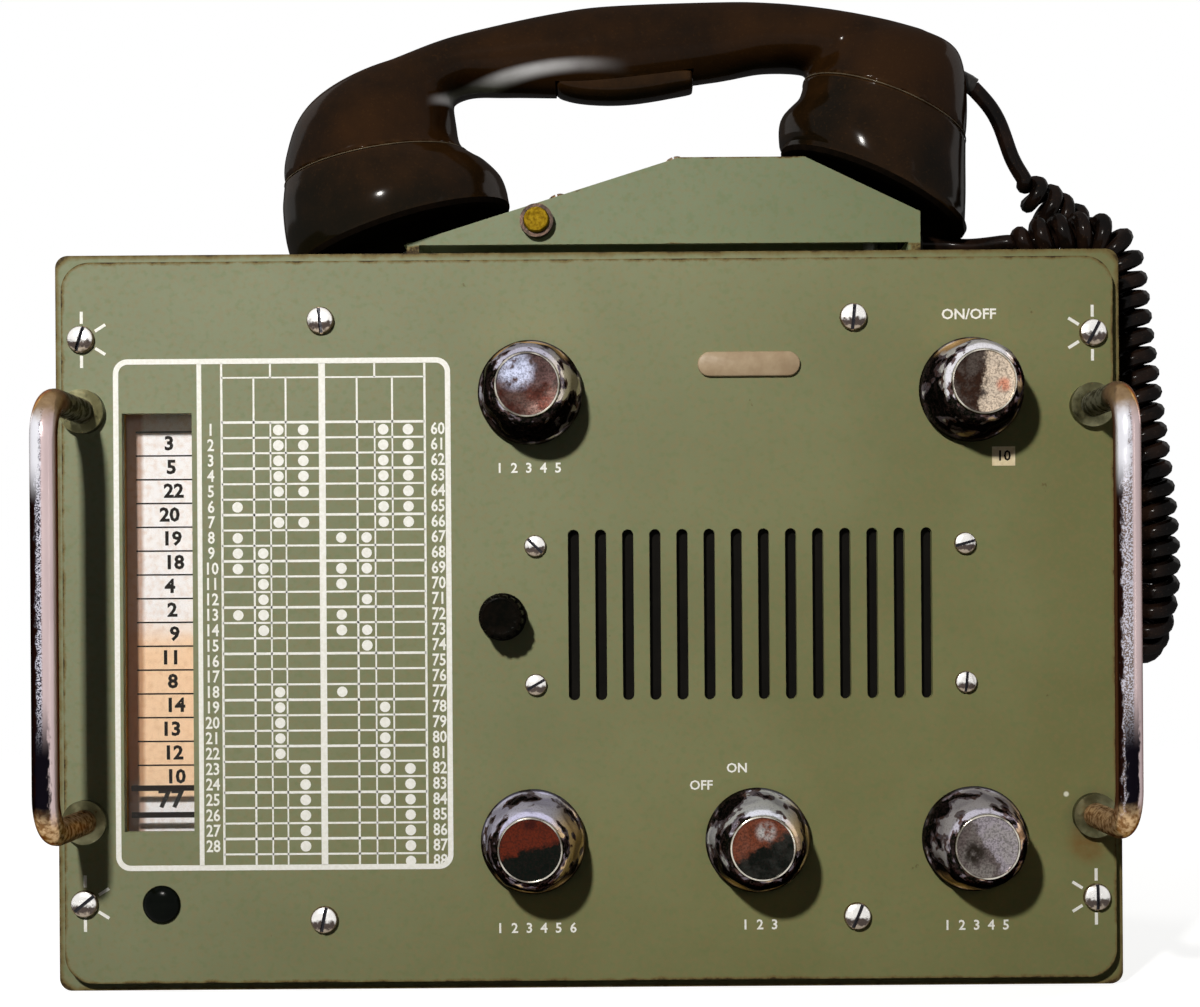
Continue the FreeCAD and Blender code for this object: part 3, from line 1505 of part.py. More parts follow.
def build_cradle():
    """The folded bracket on the cabinet's top, its screws, catch, hook plunger and cord gland."""
    gauge = D["cradle_sheet"]
    left = D["cradle_left"]
    right = D["cradle_right"]
    front = D["cradle_front"]
    width = D["cradle_width"]
    back = front + width
    bottom = cabinet_top + D["cradle_foot"]
    crest = cabinet_top + D["cradle_crest_rise"]
    shoulder = cabinet_top + D["cradle_shoulder_rise"]
    body = new_body("cradle_fold", (0, back, 0))
    outline = new_sketch(body, "XZ_Plane")
    polygon(
        outline,
        [
            (left, bottom),
            (right, bottom),
            (right, shoulder),
            (D["cradle_crest_right"], crest),
            (D["cradle_crest_left"], crest),
        ],
    )
    pad(body, outline, width)
    inside = new_body("cradle_inside", (0, back - gauge, 0))
    hollow = new_sketch(inside, "XZ_Plane")
    inner_left = left + D["cradle_toe"]
    polygon(
        hollow,
        [
            (inner_left, bottom - PAST),
            (right - gauge, bottom - PAST),
            (right - gauge, shoulder - gauge * 1.05),
            (D["cradle_crest_right"] - gauge * 0.25, crest - gauge),
            (D["cradle_crest_left"] + gauge * 0.15, crest - gauge),
            (inner_left, slope_height(inner_left) - gauge * 1.05),
        ],
    )
    pad(inside, hollow, width - 2 * gauge)
    foot_width = D["cradle_foot_width"]
    feet = [
        block((x, front, cabinet_top), (foot_width, width, D["cradle_foot"] + gauge / 2))
        for x in (left + PAST, right - foot_width)
    ]
    column = D["plunger_column"]
    plane = D["handset_plane"]
    neck_start = (right - gauge - 2, plane, cabinet_top + D["gland_rise"])
    catch_spot = (D["catch_column"], front, cabinet_top + D["catch_rise"])
    openings = [
        rod((column, plane, bottom - PAST), plunger_hole_radius, D["cradle_crest_rise"]),
        drill(catch_spot, D["catch_stem_radius"] + D["running_fit"], gauge, BACKWARD),
        drill(neck_start, D["gland_neck_radius"] + D["slide_clearance"], gauge + 2, RIGHTWARD),
    ]
    screw_bore = D["slope_screw_radius"] + D["screw_clearance"]
    openings += [
        rod(slope_screw_foot(across), screw_bore, D["slope_screw_length"] + 3, slope_screw_turn())
        for across in SLOPE_SCREWS
    ]
    node("cradle_bracket", cut(fused([cut(body, [inside])] + feet), openings))
    build_slope_screws()
    build_catch(catch_spot)

    below = D["plunger_below"]
    plunger_foot = (column, plane, cabinet_top - below)
    node("hook_plunger", rod(plunger_foot, D["plunger_radius"], D["plunger_rise"] + below))
    switch_width = D["hook_switch_width"]
    switch_depth = D["hook_switch_depth"]
    switch_height = D["hook_switch_height"]
    switch_bottom = cabinet_top - D["cabinet_wall"] - switch_height
    housing = block(
        (column - switch_width / 2, plane - switch_depth / 2, switch_bottom),
        (switch_width, switch_depth, switch_height),
    )
    well = rod((column, plane, switch_bottom + 2), plunger_hole_radius, switch_height)
    node("hook_switch", cut(housing, [well]))

    neck = rod(neck_start, D["gland_neck_radius"], gauge + 2, RIGHTWARD)
    collar_start = (right, plane, cabinet_top + D["gland_rise"])
    collar = cone(
        collar_start, D["gland_collar_radius"], D["gland_neck_radius"], D["gland_collar_length"], RIGHTWARD
    )
    node("cord_gland", fused([neck, collar]))


def slope_screw_turn():
    """The lean of the screws that stand square on the cradle's left slope."""
    rise = value_of(D["cradle_crest_rise"] - D["cradle_foot"])
    run = value_of(D["cradle_crest_left"] - D["cradle_left"])
    return Rotation(Vector(0, 1, 0), -math.degrees(math.atan2(rise, run)))


def slope_screw_foot(across):
    """The lower end of a slope screw's shank."""
    up = slope_screw_turn().multVec(Vector(0, 0, 1))
    return (
        across - D["slope_screw_length"] * up.x,
        D["cradle_front"] + D["slope_screw_inset"],
        slope_height(across) - D["slope_screw_length"] * up.z,
    )


def build_slope_screws():
    """Two small round-headed screws on the cradle's left slope."""
    turned = slope_screw_turn()
    screws = []
    for across in SLOPE_SCREWS:
        seat = (across, D["cradle_front"] + D["slope_screw_inset"], slope_height(across))
        head = rod(seat, D["slope_screw_head_radius"], D["slope_screw_head_height"], turned)
        shank_length = D["slope_screw_length"] + D["slope_screw_head_height"] / 4
        shank = rod(slope_screw_foot(across), D["slope_screw_radius"], shank_length, turned)
        screws.append(fused([head, shank]))
    node("cradle_screws", group(screws))


def build_catch(spot):
    """The brass button that frees the handset, and the ring it slides in."""
    column, front, up = spot
    gauge = D["cradle_sheet"]
    head_radius = D["catch_head_radius"]
    bore_radius = head_radius + D["slide_clearance"]
    ring = rod(spot, bore_radius + D["catch_ring_wall"], D["catch_ring_height"], FORWARD)
    node("catch_ring", cut(ring, [drill(spot, bore_radius, D["catch_ring_height"], FORWARD)]))
    head_gap = D["catch_travel"] + D["screw_clearance"]
    stem_length = gauge + D["catch_stem_end"]
    stem = rod((column, front + stem_length, up), D["catch_stem_radius"], stem_length + head_gap, FORWARD)
    head = cone((column, front - head_gap, up), head_radius, head_radius * 0.85, D["catch_head_height"], FORWARD)
    keeper_front = (column, front + gauge + D["screw_clearance"], up)
    keeper = rod(keeper_front, D["catch_keeper_radius"], D["catch_keeper_thickness"], BACKWARD)
    node("catch_button", fused([stem, head, keeper]))


# ---------------------------------------------------------------- handset


def disc(across, up, radius, lean):
    """A circle about a place in the handset's plane, its axis leaning to the right by an angle."""
    return Part.Wire([Part.Circle(Vector(across, 0, up), leaning(lean), radius).toShape()])


def oval(across, up, half_height, half_width, climb):
    """An upright oval across the handle, whose centreline climbs by an angle."""
    slope = math.radians(climb)
    side = Vector(across, half_width, up)
    crown = Vector(across - math.sin(slope) * half_height, 0, up + math.cos(slope) * half_height)
    return Part.Wire([Part.Ellipse(side, crown, Vector(across, 0, up)).toShape()])


def skin(rings):
    """A solid through rings, straight from each to the next."""
    return Part.makeLoft(rings, True, True)


def leaning(lean):
    """The direction that a head's axis points, up and away from its face."""
    slope = math.radians(lean)
    return Vector(math.sin(slope), 0, math.cos(slope))


def head_rings(rings):
    """Rings of a head, lifted to where the cabinet's top is."""
    top = value_of(cabinet_top)
    return [disc(across, up + top, radius, lean) for across, up, radius, lean in rings]


def build_head(rings, seam, cap_name, boss_height):
    """One head's cap with the boss that rests on the cradle; returns its capsule."""
    top = value_of(cabinet_top)
    face_wall = value_of(D["cap_face"])
    capsule_radius = value_of(D["capsule_radius"])
    capsule_height = value_of(D["capsule_height"])
    room = value_of(D["cap_clearance"])
    across, up, _, lean = rings[0]
    axis = leaning(lean)
    face = Vector(across, 0, up + top)
    cap = skin(head_rings(rings[: seam + 1]))
    boss = Part.makeCylinder(value_of(D["boss_radius"]), boss_height + 2, face - axis * boss_height, axis)
    cap = cap.fuse(boss).removeSplitter()
    floor = face + axis * face_wall
    seam_across, seam_up, _, _ = rings[seam]
    reach = (Vector(seam_across, 0, seam_up + top) - floor).dot(axis)
    well_depth = min(reach - face_wall / 2, capsule_height + 10 * room)
    well = Part.makeCylinder(capsule_radius + room, well_depth, floor, axis)
    capsule = Part.makeCylinder(capsule_radius, capsule_height, floor, axis)
    feature(cap_name, cap.cut(well), (0, D["handset_plane"], 0))
    return capsule


def build_handset():
    """The one-piece handle with its two hollow heads, the screwed caps, capsules and press-to-talk bar."""
    top = value_of(cabinet_top)
    ovals = [oval(across, up + top, high, wide, climb) for across, up, high, wide, climb in HANDLE]
    handle = Part.makeLoft(ovals, True, False)
    left = skin(head_rings(LEFT_HEAD[LEFT_SEAM:]))
    right = skin(head_rings(RIGHT_HEAD[RIGHT_SEAM:]))
    exit_point = Vector(*HANDSET_LEAD[0])
    first_run = (Vector(*HANDSET_LEAD[1]) - exit_point).normalize()
    exit_point = Vector(exit_point.x, 0, exit_point.z)
    sleeve_length = value_of(D["cord_sleeve_length"])
    sleeve_start = exit_point - first_run * sleeve_length
    sleeve = Part.makeCylinder(value_of(D["cord_sleeve_radius"]), sleeve_length, sleeve_start, first_run)
    shell = handle.fuse([left, right, sleeve])
    below_left = skin(head_rings(LEFT_HEAD[: LEFT_SEAM + 1]))
    below_right = skin(head_rings(RIGHT_HEAD[: RIGHT_SEAM + 1]))
    bar_left = D["talk_bar_left"]
    bar_bottom = cabinet_top + D["talk_bar_rise"]
    room = value_of(D["talk_bar_clearance"])
    width = value_of(D["talk_bar_width"])
    slot = Part.makeBox(
        value_of(D["talk_bar_length"]) + 2 * room,
        width + 2 * room,
        value_of(D["talk_bar_height"] + D["talk_bar_travel"]) + PAST,
        Vector(value_of(bar_left) - room, -width / 2 - room, value_of(bar_bottom)),
    )
    shell = shell.cut([below_left, below_right, slot]).removeSplitter()
    feature("handset_shell", shell, (0, D["handset_plane"], 0))
    capsules = [
        build_head(LEFT_HEAD, LEFT_SEAM, "earpiece_cap", LEFT_BOSS_HEIGHT),
        build_head(RIGHT_HEAD, RIGHT_SEAM, "mouthpiece_cap", RIGHT_BOSS_HEIGHT),
    ]
    feature("capsules", Part.makeCompound(capsules), (0, D["handset_plane"], 0))
    bar = block(
        (bar_left, D["handset_plane"] - D["talk_bar_width"] / 2, bar_bottom),
        (D["talk_bar_length"], D["talk_bar_width"], D["talk_bar_height"]),
    )
    below = value_of(bar_bottom) + PAST
    node("talk_bar", softened(bar, D["talk_bar_corner"], lambda edge: edge.BoundBox.ZMax < below))


# ---------------------------------------------------------------- cord


def tube(points, diameter):
    """A round cord of straight runs joined by the largest tangent arcs that its runs allow."""
    spots = [Vector(*point) for point in points]
    edges = []
    start = spots[0]
    radii = []
    for before, corner, after in zip(spots, spots[1:], spots[2:]):
        incoming = (corner - before).normalize()
        outgoing = (after - corner).normalize()
        turn_angle = incoming.getAngle(outgoing)
        shorter = min((corner - before).Length, (after - corner).Length)
        setback = ARC_SHARE * shorter
        radius = setback / math.tan(turn_angle / 2)
        radii.append(radius)
        arc_start = corner - incoming * setback
        arc_stop = corner + outgoing * setback
        inward = (outgoing - incoming).normalize()
        centre = corner + inward * (radius / math.cos(turn_angle / 2))
        middle = centre + (corner - centre).normalize() * radius
        edges.append(Part.LineSegment(start, arc_start).toShape())
        edges.append(Part.Arc(arc_start, middle, arc_stop).toShape())
        start = arc_stop
    edges.append(Part.LineSegment(start, spots[-1]).toShape())
    path = Part.Wire(edges)
    section = Part.Wire([Part.Circle(spots[0], spots[1] - spots[0], diameter / 2).toShape()])
    solid = path.makePipeShell([section], True, True)
    expected = math.pi * diameter * diameter / 4 * path.Length
    if abs(solid.Volume / expected - 1) > 0.01:
        raise RuntimeError(f"a cord's volume is {solid.Volume:.0f} and should be {expected:.0f}")
    print(f"cord of {diameter:g}: {path.Length:.0f} long, radii", [round(radius, 1) for radius in radii])
    return solid


def build_cord():
    """The handset's straight lead, the curly part as one fat tube, and the lead at the cradle."""
    diameter = value_of(D["cord_diameter"])
    feature("cord_lead_handset", tube(HANDSET_LEAD, diameter))
    feature("cord_coil", tube(COIL, value_of(D["coil_diameter"])))
    feature("cord_lead_cradle", tube(CABINET_LEAD, diameter))


# ---------------------------------------------------------------- build and write


def check():
    """Stop before writing if any object failed or any piece isn't a valid solid."""
    for thing in document.Objects:
        if {"Invalid", "Error"} & set(thing.State):
            raise RuntimeError(f"{thing.Label} failed: {thing.State}")
    for thing in nodes:
        if thing.Shape.isNull() or not thing.Shape.isValid() or not thing.Shape.Solids:
            raise RuntimeError(f"{thing.Label} isn't a valid solid")


def write():
    """Write each piece to its own file."""
    os.makedirs("parts", exist_ok=True)
    for thing in nodes:
        thing.Shape.exportStep(os.path.join("parts", f"{thing.Label}.step"))
    print(len(nodes), "pieces written")

build_cabinet()
build_panel()
build_fasteners()
build_handles()
build_window()
build_controls()
build_channel_selector()
build_speaker()
build_trim()
build_chassis()
build_rear()
build_cradle()
build_handset()
build_cord()
document.recompute()
check()
write()
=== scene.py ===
"""Looks of a cabinet radiotelephone: painted case, chrome controls, moulded handset and curly cord."""

import logging
import math
from dataclasses import dataclass, field
from enum import Enum
from typing import Callable, Sequence

import bmesh
import bpy
from mathutils import Matrix, Vector


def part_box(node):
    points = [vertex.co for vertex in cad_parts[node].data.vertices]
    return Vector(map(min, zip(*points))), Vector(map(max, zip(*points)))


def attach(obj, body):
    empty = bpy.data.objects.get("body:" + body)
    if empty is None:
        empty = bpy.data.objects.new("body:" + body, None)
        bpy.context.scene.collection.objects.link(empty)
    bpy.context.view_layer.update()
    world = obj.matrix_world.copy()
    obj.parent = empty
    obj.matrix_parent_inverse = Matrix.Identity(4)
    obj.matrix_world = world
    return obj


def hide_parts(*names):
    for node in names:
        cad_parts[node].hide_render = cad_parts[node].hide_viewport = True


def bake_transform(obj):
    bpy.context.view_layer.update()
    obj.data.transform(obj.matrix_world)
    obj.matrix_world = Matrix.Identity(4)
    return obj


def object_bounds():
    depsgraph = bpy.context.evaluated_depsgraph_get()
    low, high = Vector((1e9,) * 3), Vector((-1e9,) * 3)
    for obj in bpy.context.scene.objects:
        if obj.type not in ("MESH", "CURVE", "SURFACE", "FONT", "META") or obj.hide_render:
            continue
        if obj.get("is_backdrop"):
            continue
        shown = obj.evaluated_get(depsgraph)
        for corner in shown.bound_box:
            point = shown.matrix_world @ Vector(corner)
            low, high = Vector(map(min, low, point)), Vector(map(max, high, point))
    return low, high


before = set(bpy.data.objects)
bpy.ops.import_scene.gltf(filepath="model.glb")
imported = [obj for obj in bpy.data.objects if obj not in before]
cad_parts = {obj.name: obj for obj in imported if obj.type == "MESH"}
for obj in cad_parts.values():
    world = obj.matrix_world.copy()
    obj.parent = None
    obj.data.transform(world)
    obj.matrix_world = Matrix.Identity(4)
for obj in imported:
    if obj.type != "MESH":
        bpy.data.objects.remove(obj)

Colour = tuple[float, float, float]
Triple = tuple[float, float, float]
Pair = tuple[float, float]
Stations = tuple[tuple[float, ...], ...]
Piece = bpy.types.Object
Socket = bpy.types.NodeSocket

MM = 0.001
PANEL_FRONT = -0.079
CABINET_TOP = 0.235
HANDSET_PLANE = -0.034
REAR = Vector((0.0, 1.0, 0.0))
CAD_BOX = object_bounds()
log = logging.getLogger("radiotelephone")


def tone(red: int, green: int, blue: int) -> Colour:
    """Turn a colour as a screen shows it into the colour of light.

    Args:
        red: Red from 0 to 255.
        green: Green from 0 to 255.
        blue: Blue from 0 to 255.

    Returns:
        The linear red, green and blue.
    """
    def channel(value: int) -> float:
        """One channel's linear value."""
        part = value / 255
        return part / 12.92 if part <= 0.04045 else ((part + 0.055) / 1.055) ** 2.4
    return channel(red), channel(green), channel(blue)


# ---- shaping


def flowing(rows: Sequence[Sequence[float]], steps: int) -> list[list[float]]:
    """Rows on a smooth curve through the given rows.

    Args:
        rows: Numbers of each station.
        steps: How many rows each span is divided into.

    Returns:
        The given rows with new ones between them.
    """
    out: list[list[float]] = []
    last = len(rows) - 1
    for index in range(last):
        before, first, second, after = (rows[max(0, min(last, index + k))] for k in (-1, 0, 1, 2))
        for step in range(steps):
            t = step / steps
            row = []
            for a, b, c, d in zip(before, first, second, after):
                bend, twist = 2 * a - 5 * b + 4 * c - d, 3 * b - a - 3 * c + d
                row.append(0.5 * (2 * b + (c - a) * t + bend * t * t + twist * t ** 3))
            out.append(row)
    out.append(list(rows[last]))
    return out


def around(steps: int) -> list[float]:
    """Even angles once round a circle."""
    return [2 * math.pi * step / steps for step in range(steps)]


def placed(name: str, data: bpy.types.ID) -> Piece:
    """Put a new object with this mesh, curve, lamp or camera into the scene."""
    made = bpy.data.objects.new(name, data)
    bpy.context.scene.collection.objects.link(made)
    return made


class Shape:
    """Points and faces of one piece, gathered before they become a mesh."""

    def __init__(self) -> None:
        """Start with nothing."""
        self.points: list[Vector] = []
        self.faces: list[tuple[int, ...]] = []
        self.coats: list[int] = []

    def loft(self, rings: Sequence[Sequence[Vector]], coat: int = 0, ends: bool = True) -> None:
        """Skin closed rings of equal count, each to the next.

        Args:
            rings: The rings, in order.
            coat: Which of the piece's finishes the skin takes.
            ends: Whether the first and last ring are closed.
        """
        start = len(self.points)
        count = len(rings[0])
        for ring in rings:
            self.points.extend(Vector(point) for point in ring)
        for level in range(len(rings) - 1):
            low = start + level * count
            for spot in range(count):
                after = (spot + 1) % count
                self.faces.append((low + spot, low + after, low + count + after, low + count + spot))
                self.coats.append(coat)
        if ends:
            for low in (start, start + (len(rings) - 1) * count):
                centre = len(self.points)
                self.points.append(sum((self.points[low + k] for k in range(count)), Vector()) / count)
                for spot in range(count):
                    self.faces.append((low + spot, low + (spot + 1) % count, centre))
                    self.coats.append(coat)

    def block(self, low: Triple, high: Triple) -> None:
        """Add a square-edged block between its lowest and its highest corner."""
        corners = ((low[0], low[1]), (high[0], low[1]), (high[0], high[1]), (low[0], high[1]))
        self.loft([[Vector((x, y, z)) for x, y in corners] for z in (low[2], high[2])])

    def add(self, mesh: bpy.types.Mesh, place: Matrix) -> None:
        """Add a copy of a mesh, in the piece's first finish.

        Args:
            mesh: The mesh to copy.
            place: Where the copy goes.
        """
        start = len(self.points)
        self.points.extend(place @ vertex.co for vertex in mesh.vertices)
        for polygon in mesh.polygons:
            self.faces.append(tuple(start + index for index in polygon.vertices))
            self.coats.append(0)

    def object(self, name: str, finishes: Sequence["Finish | Stock"], sharp: float = 35.0) -> Piece:
        """Make the piece: one mesh with merged points, outward faces and smooth shading between sharp edges.

        Args:
            name: The piece's name.
            finishes: The finish of each coat.
            sharp: The angle in degrees past which an edge stays sharp.

        Returns:
            The new object, at the origin.
        """
        mesh = bpy.data.meshes.new(name)
        mesh.from_pydata([tuple(point) for point in self.points], [], self.faces)
        for finish in finishes:
            mesh.materials.append(finish.material())
        mesh.polygons.foreach_set("material_index", self.coats)
        tidy_mesh(mesh, sharp)
        return placed(name, mesh)


def tidy_mesh(mesh: bpy.types.Mesh, sharp: float = 35.0, merge: float = 2e-6) -> None:
    """Merge doubles, turn faces outwards and shade smoothly up to an angle.

    Args:
        mesh: The mesh to change.
        sharp: The angle in degrees past which an edge stays sharp.
        merge: How near two points are that become one.
    """
    work = bmesh.new()
    work.from_mesh(mesh)
    bmesh.ops.remove_doubles(work, verts=work.verts, dist=merge)
    bmesh.ops.recalc_face_normals(work, faces=work.faces)
    limit = math.radians(sharp)
    for edge in work.edges:
        edge.smooth = len(edge.link_faces) == 2 and edge.calc_face_angle(0.0) < limit
    for face in work.faces:
        face.smooth = True
    work.to_mesh(mesh)
    work.free()
    mesh.update()


def plain_copy(source: Piece, name: str) -> Piece:
    """Turn an object with modifiers, a text or a curve into a plain mesh and remove the original.

    Args:
        source: The object to evaluate.
        name: The new object's name.

    Returns:
        The plain object.
    """
    bpy.context.view_layer.update()
    graph = bpy.context.evaluated_depsgraph_get()
    mesh = bpy.data.meshes.new_from_object(source.evaluated_get(graph), depsgraph=graph)
    bpy.data.objects.remove(source)
    mesh.name = name
    return placed(name, mesh)


def cut_out(block: Piece, tool: Piece, name: str) -> Piece:
    """Cut a tool's shape out of a block; both make way for the new piece.

    Args:
        block: The piece to cut.
        tool: The shape that goes.
        name: The new piece's name.

    Returns:
        The cut piece.
    """
    cut = block.modifiers.new("slot", "BOOLEAN")
    cut.operation = "DIFFERENCE"
    cut.object = tool
    made = plain_copy(block, name)
    bpy.data.objects.remove(tool)
    return made


def turned_rings(
    profile: Sequence[Pair], spot: Pair, steps: int = 64,
    flute: Callable[[float, float], float] | None = None, front: float = PANEL_FRONT,
) -> list[list[Vector]]:
    """Rings of a turned piece that stands out towards the operator.

    Args:
        profile: Radius and height of each ring.
        spot: Where the axis is, across and up.
        steps: Points round each ring.
        flute: How much the radius shrinks at an angle and a height, if anything.
        front: The face that it stands on.

    Returns:
        The rings, from the foot outwards.
    """
    rings = []
    for radius, height in profile:
        ring = []
        for angle in around(steps):
            reach = radius - (flute(angle, height) if flute else 0.0)
            across, up = spot[0] + reach * math.cos(angle), spot[1] + reach * math.sin(angle)
            ring.append(Vector((across, front - height, up)))
        rings.append(ring)
    return rings


# ---- finishes


def add_node(tree: bpy.types.NodeTree, kind: str, *feeds: tuple, **settings: object) -> bpy.types.Node:
    """Add a node to a tree.

    Args:
        tree: The tree.
        kind: The node's type.
        *feeds: An input's name or number and the output that it takes, for each.
        **settings: The node's properties.

    Returns:
        The node.
    """
    node = tree.nodes.new(kind)
    for name, value in settings.items():
        setattr(node, name, value)
    for name, output in feeds:
        tree.links.new(output, node.inputs[name])
    return node


def sign_for(operation: str, swapped: bool = False) -> Callable[..., "Value"]:
    """Make the method behind one sign of a sum.

    Args:
        operation: What the sign does.
        swapped: Whether the value stands on the sign's right.

    Returns:
        The method.
    """
    def work(self: "Value", other: object = 0.0) -> "Value":
        """Add the node that works it out."""
        pair = (other, self) if swapped else (self, other)
        return self.wiring.maths(operation, *pair)
    return work


@dataclass(frozen=True, eq=False)
class Value:
    """A number that a finish works out at each point, ready for use in sums."""

    wiring: "Wiring"
    socket: Socket

    __add__ = sign_for("ADD")
    __sub__ = sign_for("SUBTRACT")
    __rsub__ = sign_for("SUBTRACT", swapped=True)
    __mul__ = sign_for("MULTIPLY")
    __truediv__ = sign_for("DIVIDE")
    __pow__ = sign_for("POWER")
    __abs__ = sign_for("ABSOLUTE")


class Wiring:
    """Adds nodes to one material and joins them."""

    def __init__(self, name: str) -> None:
        """Make the material, with its shader and Object coordinates.

        Args:
            name: The material's name.
        """
        self.made = bpy.data.materials.new(name)
        self.made.use_nodes = True
        self.tree = self.made.node_tree
        self.shader = self.tree.nodes["Principled BSDF"]
        self.place = self.node("ShaderNodeTexCoord").outputs["Object"]
        self.colour: Socket | None = None

    def node(self, kind: str, **settings: object) -> bpy.types.Node:
        """Add a node and set its properties."""
        return add_node(self.tree, kind, **settings)

    def feed(self, socket: Socket, value: object) -> None:
        """Join an output to a socket, or set the socket to a plain value.

        Args:
            socket: The input.
            value: An output, a number or a colour.
        """
        if isinstance(value, Value):
            value = value.socket
        if isinstance(value, bpy.types.NodeSocket):
            self.tree.links.new(value, socket)
        elif isinstance(value, tuple) and len(value) == 3 and socket.type == "RGBA":
            socket.default_value = (*value, 1.0)
        else:
            socket.default_value = value

    def set(self, **values: object) -> None:
        """Set sockets of the shader by name, with _ for a space."""
        for name, value in values.items():
            self.feed(self.shader.inputs[name.replace("_", " ")], value)

    def maths(self, operation: str, first: object, second: object = 0.0, clamp: bool = False) -> Value:
        """Work out one operation on two numbers.

        Args:
            operation: What is done.
            first: The first number or output.
            second: The second one, where there is one.
            clamp: Whether the result is kept between 0 and 1.

        Returns:
            The result.
        """
        node = self.node("ShaderNodeMath", operation=operation, use_clamp=clamp)
        self.feed(node.inputs[0], first)
        self.feed(node.inputs[1], second)
        return Value(self, node.outputs[0])

    def axis(self, index: int) -> Value:
        """The object coordinate along one axis."""
        node = self.node("ShaderNodeSeparateXYZ")
        self.feed(node.inputs[0], self.place)
        return Value(self, node.outputs[index])

    def noise(
        self, scale: float, detail: float = 3.0, rough: float = 0.55, stretch: Triple = (1.0, 1.0, 1.0),
    ) -> Value:
        """A cloudy pattern over the piece.

        Args:
            scale: Clouds to a metre.
            detail: How many finer layers it has.
            rough: How strong the finer layers are.
            stretch: How many times finer it is along each axis.

        Returns:
            The pattern, about 0.5 at its middle.
        """
        mapping = self.node("ShaderNodeMapping")
        self.feed(mapping.inputs["Vector"], self.place)
        mapping.inputs["Scale"].default_value = stretch
        return self.clouds(mapping.outputs[0], scale, detail, rough)

    def clouds(self, place: Socket, scale: float, detail: float, rough: float) -> Value:
        """The same pattern over any coordinates."""
        node = self.node("ShaderNodeTexNoise")
        for name, value in (("Vector", place), ("Scale", scale), ("Detail", detail), ("Roughness", rough)):
            self.feed(node.inputs[name], value)
        return Value(self, node.outputs["Fac"])

    def step(self, value: object, low: float, high: float, to: Pair = (0.0, 1.0)) -> Value:
        """A smooth rise between two values.

        Args:
            value: What is looked at.
            low: Where the rise starts.
            high: Where it ends; a lower one than the start makes it a fall.
            to: What comes out at both.

        Returns:
            The risen value.
        """
        node = self.node("ShaderNodeMapRange", interpolation_type="SMOOTHSTEP")
        self.feed(node.inputs["Value"], value)
        for name, number in zip(("From Min", "From Max", "To Min", "To Max"), (low, high, *to)):
            self.feed(node.inputs[name], number)
        return Value(self, node.outputs["Result"])

    def handled(self, scale: float, low: float, to: Pair) -> Value:
        """A roughness that drifts in clouds between two amounts, as handling leaves it."""
        return self.step(self.noise(scale, 4.0), low, 0.8, to)

    def mix(self, share: object, first: object, second: object) -> Socket:
        """Mix two colours.

        Args:
            share: How much of the second there is, from 0 to 1.
            first: The first colour.
            second: The second colour.

        Returns:
            The mixed colour.
        """
        node = self.node("ShaderNodeMix", data_type="RGBA", blend_type="MIX")
        self.feed(node.inputs[0], share)
        self.feed(node.inputs[6], first)
        self.feed(node.inputs[7], second)
        return node.outputs[2]

    def coat(self, share: object, colour: object) -> None:
        """Lay a share of a colour over the finish's colour so far."""
        self.colour = self.mix(share, self.colour, colour)

    def near(self, point: Triple, low: float, high: float) -> Value:
        """1 close to a point, falling to 0 away from it.

        Args:
            point: The point.
            low: The distance at which it starts to fall.
            high: The distance at which it is 0.

        Returns:
            How near each place is.
        """
        node = self.node("ShaderNodeVectorMath", operation="DISTANCE")
        self.feed(node.inputs[0], self.place)
        node.inputs[1].default_value = point
        return self.step(node.outputs["Value"], low, high, (1.0, 0.0))

    def rim(self, axes: tuple[int, int], centre: Pair, half: Pair, corner: float) -> Value:
        """How far a point is past a rounded outline's rim; a point inside counts below zero.

        Args:
            axes: The two axes that the outline lies along.
            centre: Its centre.
            half: Half its width and half its height.
            corner: Its corner radius.

        Returns:
            The distance in metres.
        """
        reach = []
        for index, middle, size in zip(axes, centre, half):
            offset = abs(self.axis(index) - middle)
            reach.append(offset - (size - corner))
        outer = [self.maths("MAXIMUM", value, 0.0) ** 2.0 for value in reach]
        round_part = self.maths("SQRT", self.maths("ADD", *outer))
        straight = self.maths("MINIMUM", self.maths("MAXIMUM", *reach), 0.0)
        return round_part + straight - corner

    def bump(self, height: Value, depth: float) -> None:
        """Raise the surface by a pattern.

        Args:
            height: The pattern.
            depth: How far it is raised, in metres.
        """
        node = self.node("ShaderNodeBump")
        self.feed(node.inputs["Height"], height)
        node.inputs["Strength"].default_value = 1.0
        node.inputs["Distance"].default_value = depth
        self.feed(self.shader.inputs["Normal"], node.outputs[0])


@dataclass(frozen=True)
class Finish:
    """A finish that is made once and shared."""

    name: str

    def material(self) -> bpy.types.Material:
        """The finish's material, made the first time it is asked for."""
        if self.name in bpy.data.materials:
            return bpy.data.materials[self.name]
        wiring = Wiring(self.name)
        self.wire(wiring)
        return wiring.made

    def wire(self, w: Wiring) -> None:
        """Add the finish's own nodes."""
        raise NotImplementedError


